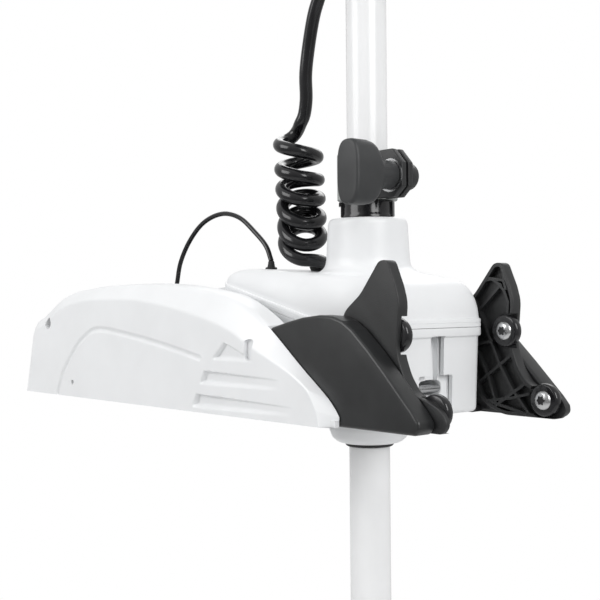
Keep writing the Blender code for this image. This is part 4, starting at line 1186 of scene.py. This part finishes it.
def case_shape():
    proud = FLANGE_PROUD
    rings = [level(housing_ring(p), lambda x, h=h: seam(x) - h) for p, h in (
        (-WALL, 0.14), (proud - 0.2, 0.14), (proud, 0.35), (proud, FLANGE_HIGH - 1.0),
        (proud - 0.3, FLANGE_HIGH - 0.3),
        (proud - 0.9, FLANGE_HIGH))]
    rings.append(level(housing_ring(-0.2, HOUSING_BACK + 2), lambda x: seam(x) - FLANGE_HIGH - 0.4))
    for height, back in CASE_LEVELS:
        rings.append(level(housing_ring(-0.2 - (SEAM_Z - height) * 0.035, back), height))
    rings += [level(housing_ring(-2.9, -64.5), 3.4), level(housing_ring(-4.2, -62), 2.4),
              level(housing_ring(-6, -59), 2.0)]
    rings += [neck_ring(18.8, 2.0), neck_ring(18.8, 5.2), level(housing_ring(-8, -56), 5.2)]
    for height, back in reversed(CASE_LEVELS[:-2]):
        rings.append(level(housing_ring(-WALL - 0.2 - (SEAM_Z - height) * 0.035, back + WALL),
                           max(height, 6.5)))
    return loft(rings, True)


def cut_through(outline, low, high):
    """A cutter along X from an outline of (y, z)."""
    return loft([[(x, y, z) for y, z in outline] for x in (low, high)])


made = solid("housing_lower_shell", case_shape(), 38.0)
carved(made, "DIFFERENCE", [cut_through(CHANNEL, 52, 80), cut_through(POCKET, 52, 80)], 38.0)
placed(made, finishes["white_moulding"], "steering_housing", ["housing_case"])
low, high = node_box("rope_guide")
liner = solid("channel_liner", loft([[(x, y, z) for y, z in rounded(
    [(low.y, low.z), (high.y, low.z), (high.y, high.z), (low.y, high.z)], 1.5, 3)]
    for x in (low.x, high.x)]), 38.0)
obround = rounded([(-12, 15.5), (10, 15.5), (10, 25.5), (-12, 25.5)], 4.8, 8)
carved(liner, "DIFFERENCE", [
    cut_through(inset(CHANNEL, 0.4), 54.0, 80), cut_through(inset(POCKET, 0.5), 58.0, 80),
    cut_through(obround, 20.0, 80)])
placed(liner, finishes["white_moulding"], "steering_housing", ["rope_guide"])
low, high = node_box("rope_bar")
bar = [(0, low.y), (2.1, low.y), (2.6, low.y + 0.5), (2.6, high.y - 0.5), (2.1, high.y), (0, high.y)]
made = solid("cleat_bar", turned(bar, "Y", ((low.x + high.x) / 2, 0, (low.z + high.z) / 2), 32))
placed(made, finishes["steel"], "steering_housing", ["rope_bar"])
cap = [(18.5, 1.7), (28.5, 1.7), (28.5, -9.0)]
cap += [(28.5 - 1.8 * (1 - cos(t)), -9.0 - 4.5 * sin(t)) for t in (0.3, 0.7, 1.1)]
cap += [(27.0, -14.6), (26.0, -16.8), (23.5, -19.0), (21.5, -20.0), (19.5, -20.6), (18.5, -20.6)]
placed(solid("lower_bearing_cap", turned(cap, steps=96), 40.0), finishes["white_moulding"],
       "steering_housing",
       ["bottom_bearing_cap"])
low, high = node_box("shaft_seal_ring")
ring = [(SHAFT_RADIUS + 0.4, high.z), (17.1, high.z), (17.1, high.z - 0.8), (16.4, low.z + 0.3),
        (16.0, low.z),
        (SHAFT_RADIUS + 0.4, low.z)]
placed(solid("wiper_seal", turned(ring, steps=96), 40.0), finishes["black_rubber"], "steering_housing",
       ["shaft_seal_ring"])
print("pieces so far:", len(PIECES))

# %% [markdown]
# ## The depth collar
# The collar sets how deep the motor hangs. A glossy black sleeve grips the shaft, a split clamp squeezes
# the sleeve, and the knob's bolt pulls the clamp's two ears together against a nut. The knob is a
# hand-sized paddle that swells from its round stem: each section is a superellipse, which turns from a
# circle into a rounded box as the stem flares.

# %% Sleeve, clamp, ears and nut
sleeve_profile = [(14.7, COLLAR_LOW), (18.2, COLLAR_LOW), (18.2, COLLAR_LOW + 1.4), (17.7, COLLAR_LOW + 2.4),
                  (17.4, COLLAR_LOW + 3.6), (17.4, COLLAR_TOP - 0.6), (17.0, COLLAR_TOP), (14.7, COLLAR_TOP)]
TAB_ANGLE, BACK_TAB_ANGLE = 139.0, -60.0
made = solid("collar_sleeve", turned(sleeve_profile, steps=96), 40.0)
tab = moved(slab(rounded([(-3.0, 0.0), (3.0, 0.0), (3.0, 10.5), (-3.0, 10.5)], 1.0), 16.0, 18.9, "Y", 0.4),
            z=137.4)
hook = moved(slab(rounded([(-3.0, 7.5), (3.0, 7.5), (3.0, 10.5), (-3.0, 10.5)], 0.8), 16.0, 20.2, "Y", 0.4),
             z=137.4)


def spun(shape, angle):
    """A shape turned round the shaft by an angle in degrees."""
    turn = Matrix.Rotation(radians(angle), 3, "Z")
    return [tuple(turn @ Vector(p)) for p in shape[0]], shape[1]


carved(made, "UNION", [spun(tab, TAB_ANGLE), spun(hook, TAB_ANGLE), spun(tab, BACK_TAB_ANGLE)], 40.0)
placed(made, finishes["gloss_black"], "steering_tube", ["depth_collar"])
ring = [(17.7, CLAMP_LOW), (20.6, CLAMP_LOW), (21.2, CLAMP_LOW + 0.6), (21.2, COLLAR_TOP - 0.6),
        (20.6, COLLAR_TOP),
        (17.7, COLLAR_TOP)]
made = solid("clamp_band", turned(ring, steps=96), 40.0)
slit = spun(loft([[(15.0, y, CLAMP_LOW - 2), (25.0, y, CLAMP_LOW - 2), (25.0, y, COLLAR_TOP + 2),
                   (15.0, y, COLLAR_TOP + 2)]
                  for y in (-0.45, 0.45)]), -26.0)
carved(made, "DIFFERENCE", [slit], 40.0)
placed(made, finishes["clamp_grey"], "steering_tube", ["collar_clamp"])
BOLT_X = (node_box("collar_nut")[0].x + node_box("collar_nut")[1].x) / 2
BOLT_Z = (node_box("collar_nut")[0].z + node_box("collar_nut")[1].z) / 2
EAR = [(15, CLAMP_LOW), (35, CLAMP_LOW), (43, 155.5), (43, 171.5), (34, COLLAR_TOP), (15, COLLAR_TOP)]
for name, low, high in (("near", -10.0, -5.5), ("far", -3.5, 1.0)):
    made = solid(f"clamp_ear_{name}", slab(rounded(EAR, 1.2, 4), low, high, "Y", 0.6, 3), 40.0)
    bore = turned([(0, -20), (3.3, -20), (3.3, 10), (0, 10)], "Y", (BOLT_X, 0, BOLT_Z), 32)
    core = turned([(0, CLAMP_LOW - 5), (21.4, CLAMP_LOW - 5), (21.4, COLLAR_TOP + 5), (0, COLLAR_TOP + 5)],
                  steps=96)
    carved(made, "DIFFERENCE", [bore, core], 40.0)
    placed(made, finishes["black_moulding"], "steering_tube")
crescent = turned([(9.9, -10.4), (11.3, -10.4), (11.3, -10.05), (9.9, -10.05)], "Y", (BOLT_X, 0, BOLT_Z), 64)
placed(solid("bolt_washer", crescent, 40.0), finishes["steel"], "steering_tube")
low, high = node_box("collar_nut")
nut = [(3.3, low.y), (8.4, low.y), (9.3, low.y + 0.9), (9.3, high.y - 1.4), (8.9, high.y - 0.5),
       (8.0, high.y), (3.3, high.y)]
placed(solid("round_nut", turned(nut, "Y", (BOLT_X, 0, BOLT_Z), 64), 40.0), finishes["black_moulding"],
       "steering_tube", ["collar_nut"])
print("bolt axis at x", round(BOLT_X, 1), "z", round(BOLT_Z, 1))

# %% The knob
low, high = node_box("collar_knob")
KNOB_END, KNOB_BACK = low.y, -34.0
KNOB_WIDE, KNOB_TALL = (high.x - low.x) / 2 - 0.1, (high.z - low.z) / 2


def knob_ring(along, wide, tall, corner):
    """A section of the knob: a rounded box of half width and half height; corner 2 gives an ellipse."""
    points = []
    for k in range(96):
        turn = tau * k / 96
        reach = (abs(cos(turn) / wide) ** corner + abs(sin(turn) / tall) ** corner) ** (-1 / corner)
        points.append((BOLT_X + reach * cos(turn), along, BOLT_Z + reach * sin(turn)))
    return points


def knob_shape():
    """A round stem, a shoulder that flares out to the paddle, and the paddle with its rounded end."""
    stem = [knob_ring(along, reach, reach, 2.0) for along,
            reach in ((-10.3, 9.2), (-10.8, 9.7), (FLARE_START, 9.7))]
    flare = []
    for k in range(1, 13):
        share = k / 12
        swell = sqrt(1 - (1 - share) ** 2)
        flare.append(knob_ring(FLARE_START + (KNOB_BACK - FLARE_START) * share,
                               9.7 + (KNOB_WIDE - 9.7) * swell,
                               9.7 + (KNOB_TALL - 0.6 - 9.7) * swell, 2.0 + swell))
    paddle = [knob_ring(along, KNOB_WIDE, KNOB_TALL, 3.0) for along in (KNOB_BACK - 2.0, KNOB_END + 2.4)]
    end = [knob_ring(KNOB_END + 2.4 * (1 - sin(t)), KNOB_WIDE - 2.4 * (1 - cos(t)),
                     KNOB_TALL - 2.4 * (1 - cos(t)), 3.0)
           for t in (0.3, 0.6, 0.9, 1.2, 1.57)]
    return loft(stem + flare + paddle + end)


FLARE_START = -25.0
made = solid("depth_knob", knob_shape(), 45.0)
bolt = turned([(0, -12), (3.0, -12), (3.0, 8), (0, 8)], "Y", (BOLT_X, 0, BOLT_Z), 32)
carved(made, "UNION", [bolt], 45.0)
placed(made, finishes["knob_grain"], "collar_knob", ["collar_knob"])
print("knob:", [round(value / MM, 1) for value in made.dimensions])

# %% [markdown]
# ## Shaft and control head
# The shaft is a pultruded composite tube, so it is perfectly round and glossy. The control head on top
# is guessed from what such motors carry: a black lower shell, a white cover with a soft top, a push
# button and a small dark window for its lamps.

# %% Shaft
low, high = node_box("shaft_tube")
tube_wall = [(11.8, low.z), (SHAFT_RADIUS, low.z), (SHAFT_RADIUS, high.z), (11.8, high.z)]
placed(solid("smooth_shaft", turned(tube_wall, steps=128), 40.0), finishes["white_shaft"], "shaft",
       ["shaft_tube"])

# %% Control head

def head_ring(grow, height):
    """The head from above, a rounded arrow that points forward, grown by a few millimetres."""
    half = [(66, 0), (62, 17), (48, 33), (22, 46), (-10, 50), (-36, 46), (-51, 32), (-56, 0)]
    points = half + [(x, -y) for x, y in reversed(half[1:-1])]
    smooth = through([(x, y, 0) for x, y in points[-2:] + points + points[:3]], 3.0)
    first = next(k for k, p in enumerate(smooth) if abs(p.x - 66) < 1e-6)
    last = next(k for k in range(len(smooth) - 1, 0, -1) if abs(smooth[k].x - 66) < 1e-6)
    return [((1 + grow / 52) * p.x, (1 + grow / 52) * p.y, HEAD_BOTTOM + height) for p in smooth[first:last]]


def socket_ring(height):
    return [(x * 14.8 / hypot(x, y), y * 14.8 / hypot(x, y), HEAD_BOTTOM + height) for x, y,
            _ in head_ring(0, 0)]


BUTTON_X = -14
base_rings = [(-3, 31.7), (-0.6, 31.7), (0, 31.2), (0, 28.0), (-0.4, 20.0), (-1, 12.0), (-2.6, 6.6),
              (-6, 3.0), (-9, 1.1),
              (-12, 0.0)]
rings = [head_ring(*place) for place in base_rings] + [socket_ring(0.0), socket_ring(4.0)]
rings += [head_ring(*place) for place in ((-14, 4.0), (-9, 6.5), (-4, 14.0))]
placed(solid("head_lower_shell", loft(rings, True), 40.0), finishes["black_moulding"], "shaft",
       ["control_head_base"])
outside = [(-0.6, 32.0), (0, 32.6), (0, 38), (0, 46), (-0.8, 52.0), (-2.0, 57.0), (-3.6, 61.5), (-6.0, 66.5),
           (-9.4, 71.3),
           (-13.5, 74.8), (-18.5, 77.4), (-24.0, 79.2), (-31.0, 80.4), (-40.0, 81.0)]
inside = [(-40, 78.0), (-23, 76.0), (-13, 69.0), (-6, 58.0), (-3, 45.0), (-3, 32.0)]
shell = loft([head_ring(*place) for place in outside])
core = loft([head_ring(*place) for place in inside[:-1]] + [head_ring(-3, 31.0)])
made = solid("head_cover_shell", shell, 40.0)
carved(made, "DIFFERENCE", [core, turned([(0, 60), (6.3, 60), (6.3, 95), (0, 95)], "Z",
                                         (BUTTON_X, 0, HEAD_BOTTOM), 48)], 40.0)
placed(made, finishes["white_moulding"], "shaft", ["control_head_cover"])
button = [(0, 70), (8.2, 70), (8.2, 73), (6.0, 73), (6.0, 82.3), (5.4, 83.2), (4.4, 83.5), (2.5, 83.3),
          (0, 83.2)]
placed(solid("head_push_button", turned(button, "Z", (BUTTON_X, 0, HEAD_BOTTOM), 64), 40.0),
       finishes["gloss_black"],
       "head_button", ["head_button"])
low, high = node_box("status_lens")
lens = rounded([(10, -12), (34, -8), (34, 8), (10, 12)], 5.0, 8)
placed(solid("lamp_window", slab(lens, low.z, high.z, "Z", 0.7, 4), 40.0), finishes["dark_lens"], "shaft",
       ["status_lens"])
print("pieces so far:", len(PIECES))

# %% [markdown]
# ## Motor and propeller
# The motor is a painted can between two black end shells, with a fin under it and a two-blade propeller
# behind. The blades are lofted: each section is a thin leaf whose chord, thickness and twist change with
# its distance from the hub, which is how a propeller is designed.

# %% Can, ends and fin
CENTRE = (0, 0, MOTOR_Z)
can = [(CAN_RADIUS - 3.5, CAN_BACK), (CAN_RADIUS - 0.5, CAN_BACK), (CAN_RADIUS, CAN_BACK + 0.5),
       (CAN_RADIUS, CAN_FRONT - 0.5),
       (CAN_RADIUS - 0.5, CAN_FRONT), (CAN_RADIUS - 3.5, CAN_FRONT)]
made = solid("motor_shell", turned(can, "X", CENTRE, 128), 40.0)
stub = [(14.7, 42.8), (28, 42.8), (27.6, 46.5), (26.2, 52), (24.4, 58), (22.8, 64), (21.6, 70), (21, 74.8),
        (20.2, 76), (14.7, 76)]
carved(made, "UNION", [turned(stub, "Z", CENTRE, 96)], 40.0)
placed(made, finishes["white_paint"], "shaft", ["motor_can"])
seam_x = CAN_FRONT + 0.3
nose = [(42, seam_x), (CAN_RADIUS - 0.4, seam_x), (CAN_RADIUS, seam_x + 0.6)]
nose += [(CAN_RADIUS * cos(t), seam_x + 0.6 + (190 - seam_x - 0.6) * sin(t))
         for t in (pi / 2 * k / 24 for k in range(1, 24))]
nose += [(0, 190), (0, 184), (21, 175), (33, 156), (40, 134)]
placed(solid("motor_nose", turned(nose, "X", CENTRE, 128), 40.0), finishes["black_moulding"], "shaft",
       ["nose_cone"])
back = CAN_BACK - 0.3
tail = [(41, back), (CAN_RADIUS - 0.4, back), (CAN_RADIUS, back - 0.6)]
tail += [(27 + 19 * cos(t), back - 3 - 23.5 * sin(t)) for t in (pi / 2 * k / 14 for k in range(15))]
tail += [(26.5, back - 27), (6.5, back - 27), (6.5, back - 21), (33, back - 15)]
placed(solid("motor_tail", turned(tail, "X", CENTRE, 128), 40.0), finishes["black_moulding"], "shaft",
       ["tail_housing"])
fin = rounded([(18, -46.6), (-100, -46.6), (-92, -100), (-74, -112), (-56, -106), (-22, -62)], 10.0, 8)
fin_shape = slab([(x, z + MOTOR_Z) for x, z in fin], -3.2, 3.2, "Y", 2.4, 5)
placed(solid("motor_fin", fin_shape, 40.0), finishes["black_moulding"], "shaft", ["skeg"])

# %% Propeller
HUB_FRONT, HUB_BACK, BLADE_REACH = -180.0, -236.0, 128.0


def blade_ring(reach):
    share = (reach - 18.0) / (BLADE_REACH - 18.0)
    tip = sqrt(max(0.0, 1.0 - max(0.0, (share - 0.8) / 0.2) ** 2.4))
    chord = (26.0 + 30.0 * sin(pi * min(1.0, share * 0.9 + 0.1)) - 8.0 * share ** 4) * max(0.12, tip)
    thick = 3.6 - 2.2 * share
    twist = radians(58.0 - 34.0 * share)
    rake = -8.0 * share ** 2
    points = []
    for k in range(28):
        turn = tau * k / 28
        along = -0.5 * cos(turn) * chord
        bulge = 2.2 * (1 - (2 * along / max(chord, 1)) ** 2) * share
        off = 0.5 * thick * sin(turn) * (1 - 0.35 * cos(turn + pi)) + bulge
        points.append((rake - 208 + off * cos(twist) - along * cos(twist + pi / 2),
                       off * sin(twist) - along * sin(twist + pi / 2), reach))
    return points


hub = [(6.3, HUB_FRONT), (26.4, HUB_FRONT), (27, HUB_FRONT - 0.6), (27.5, HUB_FRONT - 12)]
hub += [(p.x, p.y) for p in through([(27.2, HUB_FRONT - 20, 0), (24, HUB_BACK + 14, 0),
                                     (17, HUB_BACK + 2, 0)], 3.0)]
hub += [(15, HUB_BACK), (6.3, HUB_BACK)]
made = solid("two_blade_propeller", turned(hub, "X", CENTRE, 96), 40.0)
reaches = [18 + (BLADE_REACH - 18) * share for share in (0, 0.06, 0.14, 0.24, 0.35, 0.46, 0.57, 0.67, 0.76,
                                                         0.83, 0.88, 0.92,
                                                       0.95, 0.975, 0.99, 1.0)]
blades = []
for flip in (1, -1):
    rings = [[(x, flip * y, flip * z + MOTOR_Z) for x, y, z in blade_ring(reach)] for reach in reaches]
    blades.append(loft(rings))
carved(made, "UNION", blades, 40.0)
placed(made, finishes["black_moulding"], "propeller", ["propeller"])
low, high = node_box("prop_nut")
hexagon = [(10.5 * cos(tau * k / 6), 10.5 * sin(tau * k / 6) + MOTOR_Z) for k in range(6)]
made = solid("propeller_nut", slab(hexagon, low.x, high.x, "X", 0.9, 3), 40.0)
carved(made, "DIFFERENCE", [turned([(0, -300), (6.3, -300), (6.3, -200), (0, -200)], "X", CENTRE, 48)], 40.0)
placed(made, finishes["steel"], "propeller", ["prop_nut"])
print("pieces in all:", len(PIECES))

# %% [markdown]
# ## Measure and finish
# The box of the imported model and the box of the finished one are kept side by side, so that the two can
# be compared.

# %% Measure the sizes
low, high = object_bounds()
